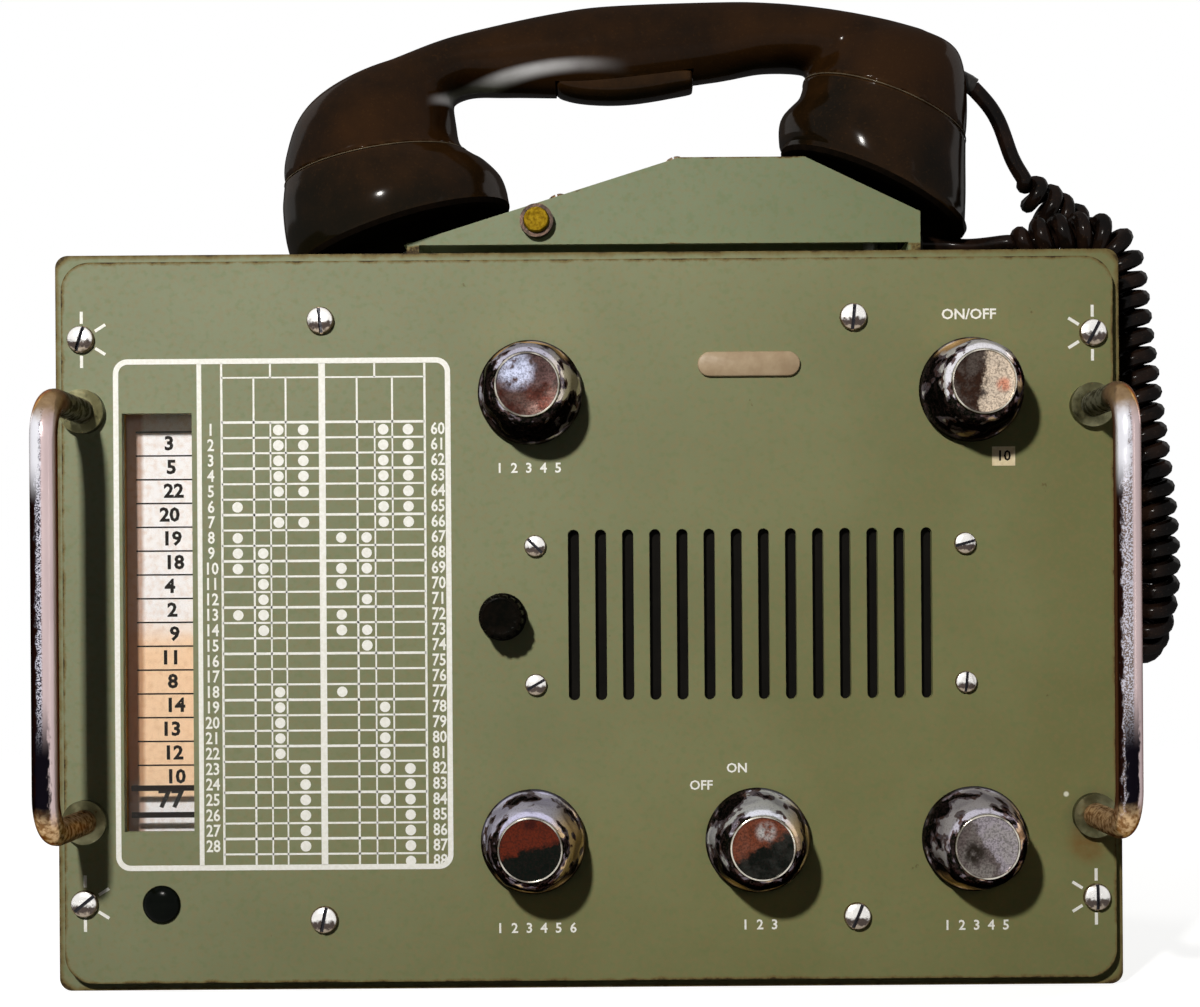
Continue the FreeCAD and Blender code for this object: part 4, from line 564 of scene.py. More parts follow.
@dataclass(frozen=True)
class CasePaint(Finish):
    """Brushing enamel on sheet metal, blotched with age, rubbed through along its rim, and paler towards the
    upper left with a painted highlight.
    """

    light: Colour = tone(134, 136, 94)
    dark: Colour = tone(112, 113, 70)
    worn: Colour = tone(118, 104, 66)
    bare: Colour = tone(58, 46, 30)
    # The next two: the tone and the strength of the painted highlight that pales the upper left.
    pale: Colour = tone(146, 155, 136)
    faded: float = 0.55
    centre: Pair = (0.0, 0.1175)
    half: Pair = (0.167, 0.1145)
    depth: Pair = (-0.0775, 0.0015)
    corner: float = 0.009
    rub: float = 0.0007
    stained: bool = False
    scuff_spot: Triple = (0.160, PANEL_FRONT, 0.054)
    rust_spot: Triple = (0.158, PANEL_FRONT, 0.046)
    chip_spot: Triple = (0.1512, PANEL_FRONT, 0.0611)

    def wire(self, w: Wiring) -> None:
        """Blotches, a painted highlight towards the upper left, specks, a rubbed rim and a fine orange-peel
        surface.
        """
        blotch = w.step(w.noise(14.0, 6.0, 0.6), 0.1, 0.92)
        w.colour = w.mix(blotch, self.dark, self.light)
        # Painted highlight: the paint turns pale and grey towards the upper left, where the lamp's haze lies.
        along = w.axis(0) * -0.6 + w.axis(2) * 0.5
        w.coat(w.step(along, -0.05, 0.20, (0.0, self.faded)), self.pale)
        fine = w.step(w.noise(700.0, 2.0), 0.42, 0.7)
        w.coat(fine * 0.22, tone(150, 122, 86))
        green = w.step(w.noise(420.0, 2.0, 0.5, (1.0, 1.0, 1.1)), 0.5, 0.72)
        w.coat(green * 0.25, tone(104, 124, 82))
        rough_rim = (w.noise(160.0, 5.0, 0.7) - 0.5) * 0.0035
        past = abs(w.axis(1) - self.depth[0]) - self.depth[1]
        edge = w.maths("MINIMUM", w.rim((0, 2), self.centre, self.half, self.corner), past)
        edge += rough_rim
        w.coat(w.step(edge, -self.rub * 1.6, -self.rub * 0.2), self.worn)
        w.coat(w.step(edge, -self.rub * 0.5, self.rub * 0.4), self.bare)
        chips = w.step(w.noise(95.0, 8.0, 0.65), 0.69, 0.73) * 0.6
        w.coat(chips, tone(92, 74, 46))
        if self.stained:
            scuff = w.near(self.scuff_spot, 2 * MM, 11 * MM) * w.noise(260.0, 4.0)
            w.coat(w.maths("MULTIPLY", scuff, 1.3, True), tone(72, 70, 62))
            rust = w.near(self.rust_spot, 2 * MM, 9 * MM) * w.noise(300.0, 4.0)
            w.coat(w.maths("MULTIPLY", rust, 1.2, True), tone(120, 86, 44))
            w.coat(w.near(self.chip_spot, 0.5 * MM, 1.1 * MM), tone(222, 224, 205))
        w.set(Base_Color=w.colour, Roughness=w.handled(60.0, 0.2, (0.45, 0.62)), Specular_IOR_Level=0.05)
        w.bump(w.noise(520.0), 0.05 * MM)


@dataclass(frozen=True)
class Plating(Finish):
    """Polished plating, mottled in bright and dark clouds that paint its reflections in (on the rusty screws
    they are rust), and browned in pits where hands and salt reach it.
    """

    bright: Colour = tone(206, 200, 204)
    dull: Colour = tone(96, 84, 84)
    stain: Colour = tone(132, 84, 46)
    roughness: float = 0.1
    grey: float = 0.5
    cloud: float = 120.0
    pitted: float = 0.6

    def wire(self, w: Wiring) -> None:
        """A mirror mottled by painted reflections and rust, with pits."""
        # Painted reflections: bright and dark clouds in the base colour. On the rusty stock the same clouds
        # are rust.
        cloud = w.step(w.noise(self.cloud, 4.0, 0.5), self.grey - 0.14, self.grey + 0.12)
        w.colour = w.mix(cloud, self.bright, self.dull)
        pits = w.step(w.noise(1500.0, 2.0), 0.62, 0.72)
        w.coat(pits * self.pitted, self.stain)
        rough = w.step(w.noise(340.0, 5.0, 0.7), 0.25, 0.85, (self.roughness * 0.6, self.roughness * 2.2))
        w.set(Base_Color=w.colour, Metallic=1.0, Roughness=rough)
        w.bump(w.noise(800.0), 0.02 * MM)


@dataclass(frozen=True)
class HandlePlating(Finish):
    """Chrome on a bent rod with its reflections painted in: dark, speckled and bright bands along it, a glint
    on top, a dark band below, brown edges and the olive panel near its upper foot; and tan stains round its
    bends.
    """

    middle: float = 0.16
    radius: float = 4 * MM
    heights: Pair = (0.0545, 0.1845)
    # band and speck: where the painted dark band ends, and the tone of the painted speckled band.
    band: float = -0.42
    speck: Colour = tone(34, 32, 46)
    long: Triple = (1.0, 1.0, 0.15)

    def wire(self, w: Wiring) -> None:
        """Painted reflection bands by the distance across the rod, a painted glint on top, a painted dark
        band below and painted brown edges, then the stains and the panel's painted reflection near the upper
        foot.
        """
        # Painted reflections: dark, speckled and bright bands by the distance across the rod.
        across = (w.axis(0) - self.middle) / self.radius
        jitter = (w.noise(700.0, 3.0, 0.6, (1.0, 1.0, 0.4)) - 0.5) * 0.8
        ragged = across + jitter
        bright = w.mix(w.noise(260.0, 3.0, 0.5, self.long), tone(226, 206, 206), tone(190, 168, 170))
        speckle = w.mix(w.step(w.noise(2100.0, 2.0), 0.44, 0.56), self.speck, tone(206, 204, 218))
        w.colour = w.mix(w.step(ragged, self.band, self.band + 0.2), tone(30, 14, 10), speckle)
        w.coat(w.step(across, -0.02, 0.2), bright)
        # Painted highlight near the top of the rod.
        glint = w.step(w.axis(2), 0.152, 0.166) * w.step(ragged, 0.1, -0.15)
        w.coat(glint, tone(236, 236, 244))
        # Painted reflection: a dark band low on the rod.
        painted_dark_band = w.step(w.axis(2), 0.098, 0.078) * w.step(abs(ragged), 0.62, 0.4)
        w.coat(painted_dark_band, tone(16, 13, 20))
        # Painted reflection: brown along the rod's left and right edges.
        w.coat(w.step(abs(across), 0.86, 0.99), tone(110, 74, 50))
        low, high = self.heights
        apart = abs(w.axis(2) - (low + high) / 2)
        bend = w.step(apart + w.noise(300.0, 4.0) * 0.005, 0.0585, 0.0655)
        upper = w.step(w.axis(2), 0.10, 0.14)
        tan = w.mix(w.step(w.noise(620.0, 4.0), 0.38, 0.64), tone(232, 196, 150), tone(146, 106, 66))
        brown = w.mix(w.noise(520.0), tone(168, 142, 110), tone(120, 96, 70))
        w.coat(bend, w.mix(upper, tan, brown))
        # Painted reflection of the olive panel, close to the panel on the upper part.
        foot = w.step(w.axis(1), -0.111, -0.104) * upper
        painted_panel_reflection = w.mix(w.step(w.noise(420.0, 4.0), 0.4, 0.6), tone(88, 86, 66), tone(150, 150, 128))
        w.coat(foot, painted_panel_reflection)
        w.set(Base_Color=w.colour, Metallic=0.55, Roughness=w.handled(340.0, 0.25, (0.12, 0.26)))
        w.set(Specular_IOR_Level=0.0, Specular_Tint=(0.12, 0.08, 0.06))
        w.bump(w.noise(900.0), 0.02 * MM)


@dataclass(frozen=True)
class KnobPlating(Finish):
    """Chrome on a knob's flank, its reflections painted in as crisp bright and dark patches that run round
    it.
    """

    centre: Pair = (0.0, 0.0)
    start: float = 0.0
    # crown and side: the cool and the warm tone of the painted reflections. arc and arc_height: the side and
    # the height of the painted warm arc.
    crown: Colour = tone(214, 216, 236)
    side: Colour = tone(242, 220, 184)
    lean: float = 0.0
    arc: float = -1.0
    arc_height: float = 9.5 * MM

    def wire(self, w: Wiring) -> None:
        """Painted reflection patches by the angle round the knob, cool to the upper left and warm to the
        lower right, a painted warm arc, fine grain and a dark ring round the skirt.
        """
        across = w.axis(0) - self.centre[0]
        up = w.axis(2) - self.centre[1]
        reach = w.maths("MAXIMUM", w.maths("SQRT", across ** 2.0 + up ** 2.0), 0.5 * MM)
        right, top = across / reach, up / reach
        spot = w.node("ShaderNodeCombineXYZ")
        w.feed(spot.inputs[0], right * 1.05 + self.start)
        w.feed(spot.inputs[1], reach * 230.0)
        w.feed(spot.inputs[2], top * 1.05)
        # Painted reflections: clouds laid round the knob by angle choose dark, middle and bright patches.
        patches = w.clouds(spot.outputs[0], 1.55, 2.5, 0.6)
        toward = right * (0.02 + self.lean) + top * 0.08
        cover = patches + toward
        warm = w.step(right * 0.75 - top * 0.65, -0.25, 0.45)
        bright = w.mix(warm, self.crown, self.side)
        middle = w.mix(w.step(w.noise(420.0), 0.4, 0.62), tone(120, 112, 122), tone(88, 66, 60))
        dark = w.mix(w.step(w.noise(520.0), 0.45, 0.65), tone(10, 14, 9), tone(44, 34, 34))
        w.colour = w.mix(w.step(cover, 0.474, 0.496), dark, middle)
        w.coat(w.step(cover, 0.53, 0.56), bright)
        # Painted reflection: a warm arc on the flank near the panel, on top of the upper knobs and below the
        # lower ones.
        painted_warm_arc = w.step(reach, 0.0134, 0.0141) * w.step(top * self.arc, 0.6, 0.8)
        near = abs(w.axis(1) - (PANEL_FRONT - self.arc_height))
        painted_warm_arc *= w.step(near, 6.2 * MM, 5 * MM)
        w.coat(painted_warm_arc, tone(226, 186, 134))
        grain = w.step(w.noise(1900.0, 2.0), 0.5, 0.7) * 0.35
        w.coat(grain, tone(96, 78, 74))
        w.coat(w.step(reach, 0.01575, 0.0162, (0.0, 0.85)), tone(34, 30, 22))
        w.set(Base_Color=w.colour, Metallic=0.6, Roughness=w.handled(300.0, 0.25, (0.1, 0.24)))
        w.set(Specular_IOR_Level=0.0, Specular_Tint=(0.2, 0.17, 0.15))
        w.bump(w.noise(700.0), 0.02 * MM)


@dataclass(frozen=True)
class ScrewPlating(Finish):
    """A screw head with a painted highlight on its upper half, painted shade below and in its slot, painted
    reflected light along its bottom, and brown round its rim.
    """

    def wire(self, w: Wiring) -> None:
        """Painted highlight and shade by where a point is on its own head, in radii and in heights."""
        parts = w.node("ShaderNodeSeparateXYZ")
        w.feed(parts.inputs[0], w.node("ShaderNodeAttribute", attribute_name="on_head").outputs["Vector"])
        across, height, up = (Value(w, part) for part in parts.outputs)
        reach = w.maths("SQRT", across ** 2.0 + up ** 2.0)
        ragged = up + (w.noise(800.0) - 0.5) * 0.9
        # Painted highlight on each head's upper half, painted shade on its lower half.
        w.colour = w.mix(w.step(ragged, -0.25, 0.05), tone(70, 58, 52), tone(244, 242, 240))
        # Painted reflected light along the bottom of the head.
        w.coat(w.step(ragged, -0.55, -0.75) * 0.6, tone(206, 190, 170))
        w.coat(w.step(reach, 0.84, 0.97), tone(104, 84, 58))
        # Painted shade in the slot.
        slot = w.step(height, 0.62, 0.5) * w.step(reach, 0.96, 0.9)
        w.coat(slot, tone(14, 13, 24))
        w.set(Base_Color=w.colour, Metallic=0.5, Roughness=w.handled(600.0, 0.25, (0.16, 0.34)))
        w.bump(w.noise(900.0), 0.03 * MM)


@dataclass(frozen=True)
class DishedFace(Finish):
    """The dark mirror of a knob's dished face with its reflections painted in: one tone above its middle,
    another below, and a glint.
    """

    centre: Pair = (0.0, 0.0)
    # upper and lower: the two painted reflection tones. The glint fields: the painted highlight.
    upper: Colour = tone(104, 46, 34)
    lower: Colour = tone(14, 26, 22)
    scuffed: float = 0.0
    slant: Pair = (-0.35, 1.0)
    glint: Pair = (0.0, 0.0)
    glint_tone: Colour = tone(200, 200, 222)
    glint_reach: float = 0.0
    stands: float = 22.3 * MM

    def wire(self, w: Wiring) -> None:
        """Two painted reflection tones with a broken line between them, a painted glint where there is one,
        and scuffs.
        """
        drift = (w.noise(240.0, 6.0, 0.7) - 0.5) * 0.012
        height = (w.axis(2) - self.centre[1]) * self.slant[1] + drift
        lean = (w.axis(0) - self.centre[0]) * self.slant[0]
        # Painted reflections: one tone above a slanted, broken line and another below it.
        w.colour = w.mix(w.step(height + lean, -0.001, 0.0014), self.lower, self.upper)
        w.coat(w.step(w.noise(900.0), 0.5, 0.75) * 0.5, tone(30, 24, 22))
        scuffs = w.step(w.noise(180.0, 7.0, 0.7), 0.42, 0.6)
        w.coat(scuffs * self.scuffed, tone(150, 146, 140))
        # Painted highlight: the glint.
        if self.glint_reach:
            across, up = self.centre[0] + self.glint[0], self.centre[1] + self.glint[1]
            share = w.near((across, PANEL_FRONT - self.stands, up), self.glint_reach * 0.35, self.glint_reach)
            share *= w.step(w.noise(420.0, 4.0), 0.3, 0.55)
            w.coat(share, self.glint_tone)
        grit = w.step(w.noise(1700.0, 2.0), 0.45, 0.6) * 0.45
        w.coat(grit, tone(26, 16, 12))
        w.set(Base_Color=w.colour, Metallic=0.5, Roughness=w.handled(300.0, 0.2, (0.14, 0.34)))
        w.set(Specular_IOR_Level=0.1)
        w.bump(w.noise(700.0, 4.0), 0.03 * MM)


@dataclass(frozen=True)
class Moulding(Finish):
    """Dark moulded resin with a hand-rubbed gloss, browner along its worn edges, with painted shade low down
    and a painted highlight along the grip.
    """

    body: Colour = tone(46, 27, 9)
    deep: Colour = tone(25, 15, 6)
    worn: Colour = tone(84, 56, 28)
    gloss: float = 0.2
    # The next three: the strength of the painted highlight on the grip, and the height and the curve of its
    # band.
    polish: float = 0.0
    crest: float = 0.3037
    arch: float = 4.3

    def wire(self, w: Wiring) -> None:
        """Mottle, warm specks, painted shade at the foot, a painted highlight on the grip's flank and an
        uneven gloss.
        """
        cloud = w.step(w.noise(26.0, 6.0, 0.6), 0.34, 0.66)
        w.colour = w.mix(cloud, self.deep, self.body)
        specks = w.step(w.noise(1100.0, 2.0), 0.58, 0.72)
        w.coat(specks * 0.14, self.worn)
        touch = w.step(w.node("ShaderNodeNewGeometry").outputs["Pointiness"], 0.512, 0.56)
        touch *= w.step(w.noise(140.0, 4.0), 0.3, 0.6)
        w.coat(touch * 0.3, self.worn)
        rough = w.step(w.noise(48.0, 5.0, 0.65), 0.25, 0.8, (self.gloss * 0.8, self.gloss * 1.7))
        # Painted shade: darker towards the bottom, where the handset lies in the cradle.
        w.coat(w.step(w.axis(2), 0.266, 0.242, (0.0, 0.7)), tone(8, 11, 5))
        # Painted highlight: a pale band along the grip's lower front flank.
        if self.polish:
            along = w.axis(0) - 0.002
            crest = self.crest - along ** 2.0 * self.arch
            band = w.step(abs(w.axis(2) - crest), 2.9 * MM, 0.2 * MM)
            band *= w.step(w.axis(1), HANDSET_PLANE, HANDSET_PLANE - 8 * MM)
            band *= w.step(w.axis(0), -0.054, -0.043)
            band *= w.step(w.axis(0), 0.016, -0.026)
            band *= w.step(w.noise(60.0, 4.0), 0.15, 0.6, (0.6, 1.0))
            w.coat(band * self.polish, tone(236, 236, 240))
        w.set(Base_Color=w.colour, Roughness=rough, Specular_IOR_Level=0.0)
        w.set(Coat_Weight=0.028, Coat_IOR=2.3, Coat_Roughness=0.13)
        w.bump(w.noise(420.0, 4.0), 0.03 * MM)


@dataclass(frozen=True)
class CordJacket(Finish):
    """A smooth black jacket, a little brown where it has rubbed on its neighbours."""

    def wire(self, w: Wiring) -> None:
        """Warm black with fine dust and an even gloss."""
        cloud = w.step(w.noise(90.0, 5.0, 0.6), 0.35, 0.7)
        w.colour = w.mix(cloud, tone(11, 8, 7), tone(34, 22, 16))
        dust = w.step(w.noise(1300.0, 2.0), 0.62, 0.74)
        w.coat(dust * 0.3, tone(84, 62, 44))
        w.set(Base_Color=w.colour, Roughness=w.handled(70.0, 0.2, (0.22, 0.4)), Specular_IOR_Level=0.0)
        w.set(Coat_Weight=0.04, Coat_IOR=2.2, Coat_Roughness=0.18)
        w.bump(w.noise(900.0), 0.03 * MM)


@dataclass(frozen=True)
class PlainStock(Finish):
    """Any other stock: two tones, a grain, a roughness range and a surface."""

    first: Colour = tone(150, 150, 150)
    second: Colour = tone(120, 120, 120)
    grain: float = 200.0
    stretch: Triple = (1.0, 1.0, 1.0)
    shine: Pair = (0.35, 0.6)
    metal: float = 0.0
    specular: float = 0.4
    depth: float = 0.04 * MM

    def wire(self, w: Wiring) -> None:
        """Mix the two tones by a grain and roughen the surface."""
        cloud = w.step(w.noise(self.grain, 5.0, 0.6, self.stretch), 0.3, 0.7)
        fine = w.noise(self.grain * 6.0, 2.0, 0.5, self.stretch)
        w.colour = w.mix(cloud, self.first, self.second)
        w.coat(fine * 0.3, self.second)
        w.set(Base_Color=w.colour, Roughness=w.step(cloud, 0.0, 1.0, self.shine), Metallic=self.metal)
        w.set(Specular_IOR_Level=self.specular)
        w.bump(fine, self.depth)


@dataclass(frozen=True)
class CardStock(Finish):
    """Printed card that is white near its top and has yellowed below, with a painted shadow along its left
    edge.
    """

    def wire(self, w: Wiring) -> None:
        """Yellow by height, with a painted shadow along the left edge and paper fibre."""
        height = w.axis(2) + w.noise(60.0, 4.0) * 0.012
        white = w.maths("MAXIMUM", w.step(height, 0.112, 0.128), w.step(height, 0.0665, 0.0645))
        w.colour = w.mix(white, tone(252, 216, 178), tone(252, 252, 255))
        fibre = w.step(w.noise(500.0, 4.0), 0.4, 0.75)
        w.coat(fibre * 0.3, tone(206, 160, 116))
        # Painted shadow of the window's left wall along the card's left edge.
        edge = w.axis(0) + w.noise(200.0) * 0.0012
        w.coat(w.step(edge, -0.1452, -0.1434, (0.75, 0.0)), tone(150, 96, 48))
        w.set(Base_Color=w.colour, Roughness=w.step(fibre, 0.0, 1.0, (0.6, 0.8)))
        w.bump(fibre, 0.03 * MM)


@dataclass(frozen=True)
class Weave(Finish):
    """Loudspeaker cloth: threads over and under."""

    thread: float = 1600.0

    def wire(self, w: Wiring) -> None:
        """Two crossed sets of threads."""
        heights = []
        for index, phase in ((0, 0.0), (2, 1.57)):
            wave = w.maths("SINE", w.axis(index) * (self.thread * 6.283) + phase)
            heights.append(abs(wave))
        height = w.maths("MAXIMUM", *heights)
        w.colour = w.mix(height * w.noise(90.0, 4.0), tone(4, 4, 4), tone(30, 27, 23))
        w.set(Base_Color=w.colour, Roughness=w.step(height, 0.0, 1.0, (0.95, 0.8)), Specular_IOR_Level=0.1)
        w.bump(height, 0.12 * MM)


@dataclass(frozen=True)
class ClearSheet(Finish):
    """Thin clear plastic with faint scratches."""

    haze: float = 0.015

    def wire(self, w: Wiring) -> None:
        """Nearly all see-through, with a thin reflection and dusty scratches."""
        scratch = w.step(w.noise(420.0, 6.0, 0.75, (6.0, 1.0, 0.3)), 0.62, 0.72)
        w.set(
            Base_Color=w.mix(scratch, tone(225, 228, 226), tone(250, 246, 236)),
            Roughness=w.step(scratch, 0.0, 1.0, (0.06, 0.3)), Specular_IOR_Level=0.2,
            Alpha=w.step(scratch, 0.0, 1.0, (self.haze, self.haze + 0.035)),
        )


class Stock(Enum):
    """The finishes that several pieces share."""

    CASE = CasePaint("case_paint", half=(0.170, 0.1175), depth=(0.0, 0.075), corner=0.006, rub=0.0012)
    PANEL = CasePaint("panel_paint", stained=True)
    CRADLE = CasePaint(
        "cradle_enamel", light=tone(126, 136, 98), dark=tone(112, 121, 84), centre=(0.02465, 0.2555),
        half=(0.0868, 0.0146), depth=(-0.034, 0.022), corner=0.001, rub=0.0004,
    )
    KNOB_RIM = Plating("knob_rim_plating", bright=tone(206, 200, 188), dull=tone(104, 98, 90))
    LEFT_HANDLE = HandlePlating("left_handle_plating", middle=-0.16)
    RIGHT_HANDLE = HandlePlating("right_handle_plating", middle=0.16, band=-0.72, speck=tone(120, 104, 96))
    SCREW = ScrewPlating("screw_plating")
    RUSTY = Plating(
        "rusty_screw", bright=tone(168, 150, 128), dull=tone(110, 80, 52), roughness=0.34, grey=0.45,
    )
    # The collars' olive tones are the panel's reflection, painted into their plating.
    COLLAR = Plating(
        "collar_brass_panel_reflection", bright=tone(112, 110, 84), dull=tone(66, 64, 44), roughness=0.36, pitted=0.3,
    )
    STEEL = PlainStock(
        "plated_steel", tone(176, 174, 168), tone(128, 124, 116), 240.0, shine=(0.28, 0.45), metal=1.0,
    )
    ALUMINIUM = PlainStock(
        "cast_aluminium", tone(188, 190, 190), tone(150, 152, 154), 320.0, shine=(0.4, 0.6), metal=1.0,
        depth=0.1 * MM,
    )
    ANODISED = PlainStock(
        "black_anodising", tone(26, 26, 28), tone(40, 40, 41), 260.0, stretch=(1.0, 1.0, 0.15),
        shine=(0.42, 0.6), metal=0.4,
    )
    PHENOLIC = PlainStock("phenolic_board", tone(128, 84, 44), tone(98, 60, 30), 120.0, shine=(0.35, 0.5))
    RUBBER = PlainStock(
        "black_rubber", tone(22, 20, 19), tone(34, 30, 27), 300.0, shine=(0.6, 0.8), specular=0.25,
    )
    GLOSS = PlainStock(
        "black_gloss", tone(3, 6, 3), tone(6, 10, 6), 200.0, shine=(0.1, 0.2), specular=0.04,
        depth=0.01 * MM,
    )
    SMALL_KNOB = PlainStock(
        "black_phenolic", tone(6, 8, 6), tone(18, 14, 10), 420.0, shine=(0.2, 0.4), specular=0.01,
    )
    PILL = PlainStock(
        "tan_plate", tone(180, 160, 132), tone(160, 138, 110), 150.0, shine=(0.35, 0.5), specular=0.15,
    )
    BRASS = PlainStock(
        "brass_cap", tone(190, 156, 34), tone(120, 92, 10), 900.0, shine=(0.5, 0.65), specular=0.05,
        depth=0.2 * MM,
    )
    RING = PlainStock("dark_ring", tone(66, 42, 24), tone(34, 22, 14), 500.0, shine=(0.35, 0.55), metal=0.5)
    INK = PlainStock(
        "white_ink", tone(255, 255, 252), tone(242, 242, 234), 900.0, shine=(0.55, 0.7), depth=0.01 * MM,
    )
    BLACK_INK = PlainStock(
        "black_ink", tone(12, 7, 5), tone(26, 16, 12), 900.0, shine=(0.6, 0.75), specular=0.05,
        depth=0.01 * MM,
    )
    # Bright warm tones that paint in light the shaded window wall does not get.
    WALL = PlainStock(
        "window_wall_painted_light", tone(255, 206, 104), tone(236, 172, 70), 160.0, shine=(0.5, 0.7), specular=0.1,
    )
    LABEL = PlainStock("cream_label", tone(236, 222, 186), tone(220, 200, 158), 500.0, shine=(0.6, 0.75))
    CARD = CardStock("channel_card_stock")
    DRUM_CARD = PlainStock("moulded_card", tone(206, 196, 172), tone(186, 172, 144), 240.0, shine=(0.6, 0.8))
    CLOTH = Weave("speaker_weave")
    LENS = ClearSheet("lens_sheet")
    SLIDER = ClearSheet("cursor_sheet")
    RESIN = Moulding("handset_resin", polish=0.85)
    RESIN_CAP = Moulding("handset_cap_resin", body=tone(44, 27, 11), deep=tone(20, 14, 6), gloss=0.17)
    # A darker, matt copy of the cap resin: painted shade on the caps' downward faces and lips.
    CAP_FACE = PlainStock("cap_face", tone(20, 14, 9), tone(12, 9, 6), 300.0, shine=(0.7, 0.85), specular=0.0)
    # Pale tones for the seam bead: partly wear, partly a painted highlight along the joint.
    SEAM = Moulding(
        "handset_seam", body=tone(84, 72, 56), deep=tone(44, 36, 26), worn=tone(130, 116, 92), gloss=0.3,
    )
    CORD = CordJacket("cord_jacket")

    def material(self) -> bpy.types.Material:
        """The finish's material."""
        return self.value.material()


def dress(stock: Stock, *nodes: str) -> None:
    """Give carried-over parts their finish.

    Args:
        stock: The finish.
        *nodes: The parts' names.
    """
    made = stock.material()
    for name in nodes:
        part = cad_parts[name]
        if not part.material_slots:
            part.data.materials.append(made)
        for slot in part.material_slots:
            slot.material = made


# ---- repeats


@dataclass(frozen=True)
class Mark:
    """A place for one copy of a repeated piece."""

    place: Triple
    size: Triple = (1.0, 1.0, 1.0)
    turn: Triple = (0.0, 0.0, 0.0)


class Repeater:
    """Sets copies of one small piece on marked points, through a node tree with named inputs."""

    def __init__(self) -> None:
        """Build the tree: marked points in, one realised mesh with its finish out."""
        tree = bpy.data.node_groups.new("copies_on_marks", "GeometryNodeTree")
        face = tree.interface
        face.new_socket("Marks", in_out="INPUT", socket_type="NodeSocketGeometry")
        for name, kind in {
            "Piece": "Object", "Finish": "Material", "Scale": "Float", "Unevenness": "Float", "Seed": "Int",
        }.items():
            face.new_socket(name, in_out="INPUT", socket_type="NodeSocket" + kind)
        face.new_socket("Copies", in_out="OUTPUT", socket_type="NodeSocketGeometry")
        given = add_node(tree, "NodeGroupInput").outputs
        size, turn = (
            add_node(tree, "GeometryNodeInputNamedAttribute", data_type="FLOAT_VECTOR") for _ in range(2)
        )
        size.inputs["Name"].default_value = "mark_size"
        turn.inputs["Name"].default_value = "mark_turn"
        chance = add_node(tree, "FunctionNodeRandomValue", ("Seed", given["Seed"]), data_type="FLOAT")
        uneven = add_node(
            tree, "ShaderNodeMath", (0, chance.outputs[1]), (1, given["Unevenness"]), (2, given["Scale"]),
            operation="MULTIPLY_ADD",
        )
        scaled = add_node(
            tree, "ShaderNodeVectorMath", (0, size.outputs["Attribute"]), ("Scale", uneven.outputs[0]),
            operation="SCALE",
        )
        rotation = add_node(tree, "FunctionNodeEulerToRotation", (0, turn.outputs["Attribute"]))
        info = add_node(tree, "GeometryNodeObjectInfo", ("Object", given["Piece"]))
        copies = add_node(
            tree, "GeometryNodeInstanceOnPoints", ("Points", given["Marks"]),
            ("Instance", info.outputs["Geometry"]), ("Rotation", rotation.outputs[0]),
            ("Scale", scaled.outputs[0]),
        )
        real = add_node(tree, "GeometryNodeRealizeInstances", (0, copies.outputs[0]))
        coat = add_node(
            tree, "GeometryNodeSetMaterial", ("Geometry", real.outputs[0]), ("Material", given["Finish"]),
        )
        add_node(tree, "NodeGroupOutput", (0, coat.outputs[0]))
        self.tree = tree
        self.sockets = {item.name: item.identifier for item in face.items_tree if item.in_out == "INPUT"}

    def lay(
        self, name: str, shape: Shape, marks: Sequence[Mark], finish: Stock, unevenness: float = 0.0,
        seed: int = 7, sharp: float = 35.0,
    ) -> Piece:
        """Make one plain piece out of copies of a shape.

        Args:
            name: The piece's name.
            shape: The shape to repeat, about the origin.
            marks: Where the copies go.
            finish: What they are finished with.
            unevenness: How much larger a copy may be than the next, as a share.
            seed: What the chance starts from.
            sharp: The angle in degrees past which an edge stays sharp.

        Returns:
            The piece.
        """
        mesh = bpy.data.meshes.new(name + "_marks")
        mesh.from_pydata([mark.place for mark in marks], [], [])
        for attribute in ("size", "turn"):
            data = mesh.attributes.new("mark_" + attribute, "FLOAT_VECTOR", "POINT").data
            data.foreach_set("vector", [number for mark in marks for number in getattr(mark, attribute)])
        holder = placed(name + "_marks", mesh)
        single = shape.object(name + "_single", [finish], sharp)
        modifier = holder.modifiers.new("copies", "NODES")
        modifier.node_group = self.tree
        coat = finish.material()
        given = {"Piece": single, "Finish": coat, "Scale": 1.0, "Unevenness": unevenness, "Seed": seed}
        for socket, value in given.items():
            modifier[self.sockets[socket]] = value
        made = plain_copy(holder, name)
        bpy.data.objects.remove(single)
        tidy_mesh(made.data, sharp, 1e-7)
        return made


def on_heads(piece: Piece, marks: Sequence[Mark], radius: float, height: float) -> None:
    """Keep on each point of the screws where it is on its own head, in radii and in heights.

    Args:
        piece: The screws, as one piece.
        marks: Where the heads are.
        radius: A head's radius.
        height: A head's height.
    """
    data = piece.data.attributes.new("on_head", "FLOAT_VECTOR", "POINT").data
    feet = [Vector(mark.place) for mark in marks]
    for vertex, value in zip(piece.data.vertices, data):
        offset = min((vertex.co - foot for foot in feet), key=lambda gap: gap.length)
        value.vector = (offset.x / radius, -offset.y / height, offset.z / radius)


def unit_block() -> Shape:
    """A block one metre each way about the origin, for lines and bars."""
    shape = Shape()
    shape.block((-0.5, -0.5, -0.5), (0.5, 0.5, 0.5))
    return shape


def unit_disc(steps: int = 14) -> Shape:
    """A flat disc one metre across and one deep, facing the operator."""
    shape = Shape()
    shape.loft(turned_rings([(0.5, -0.5), (0.5, 0.5)], (0.0, 0.0), steps, front=0.0))
    return shape


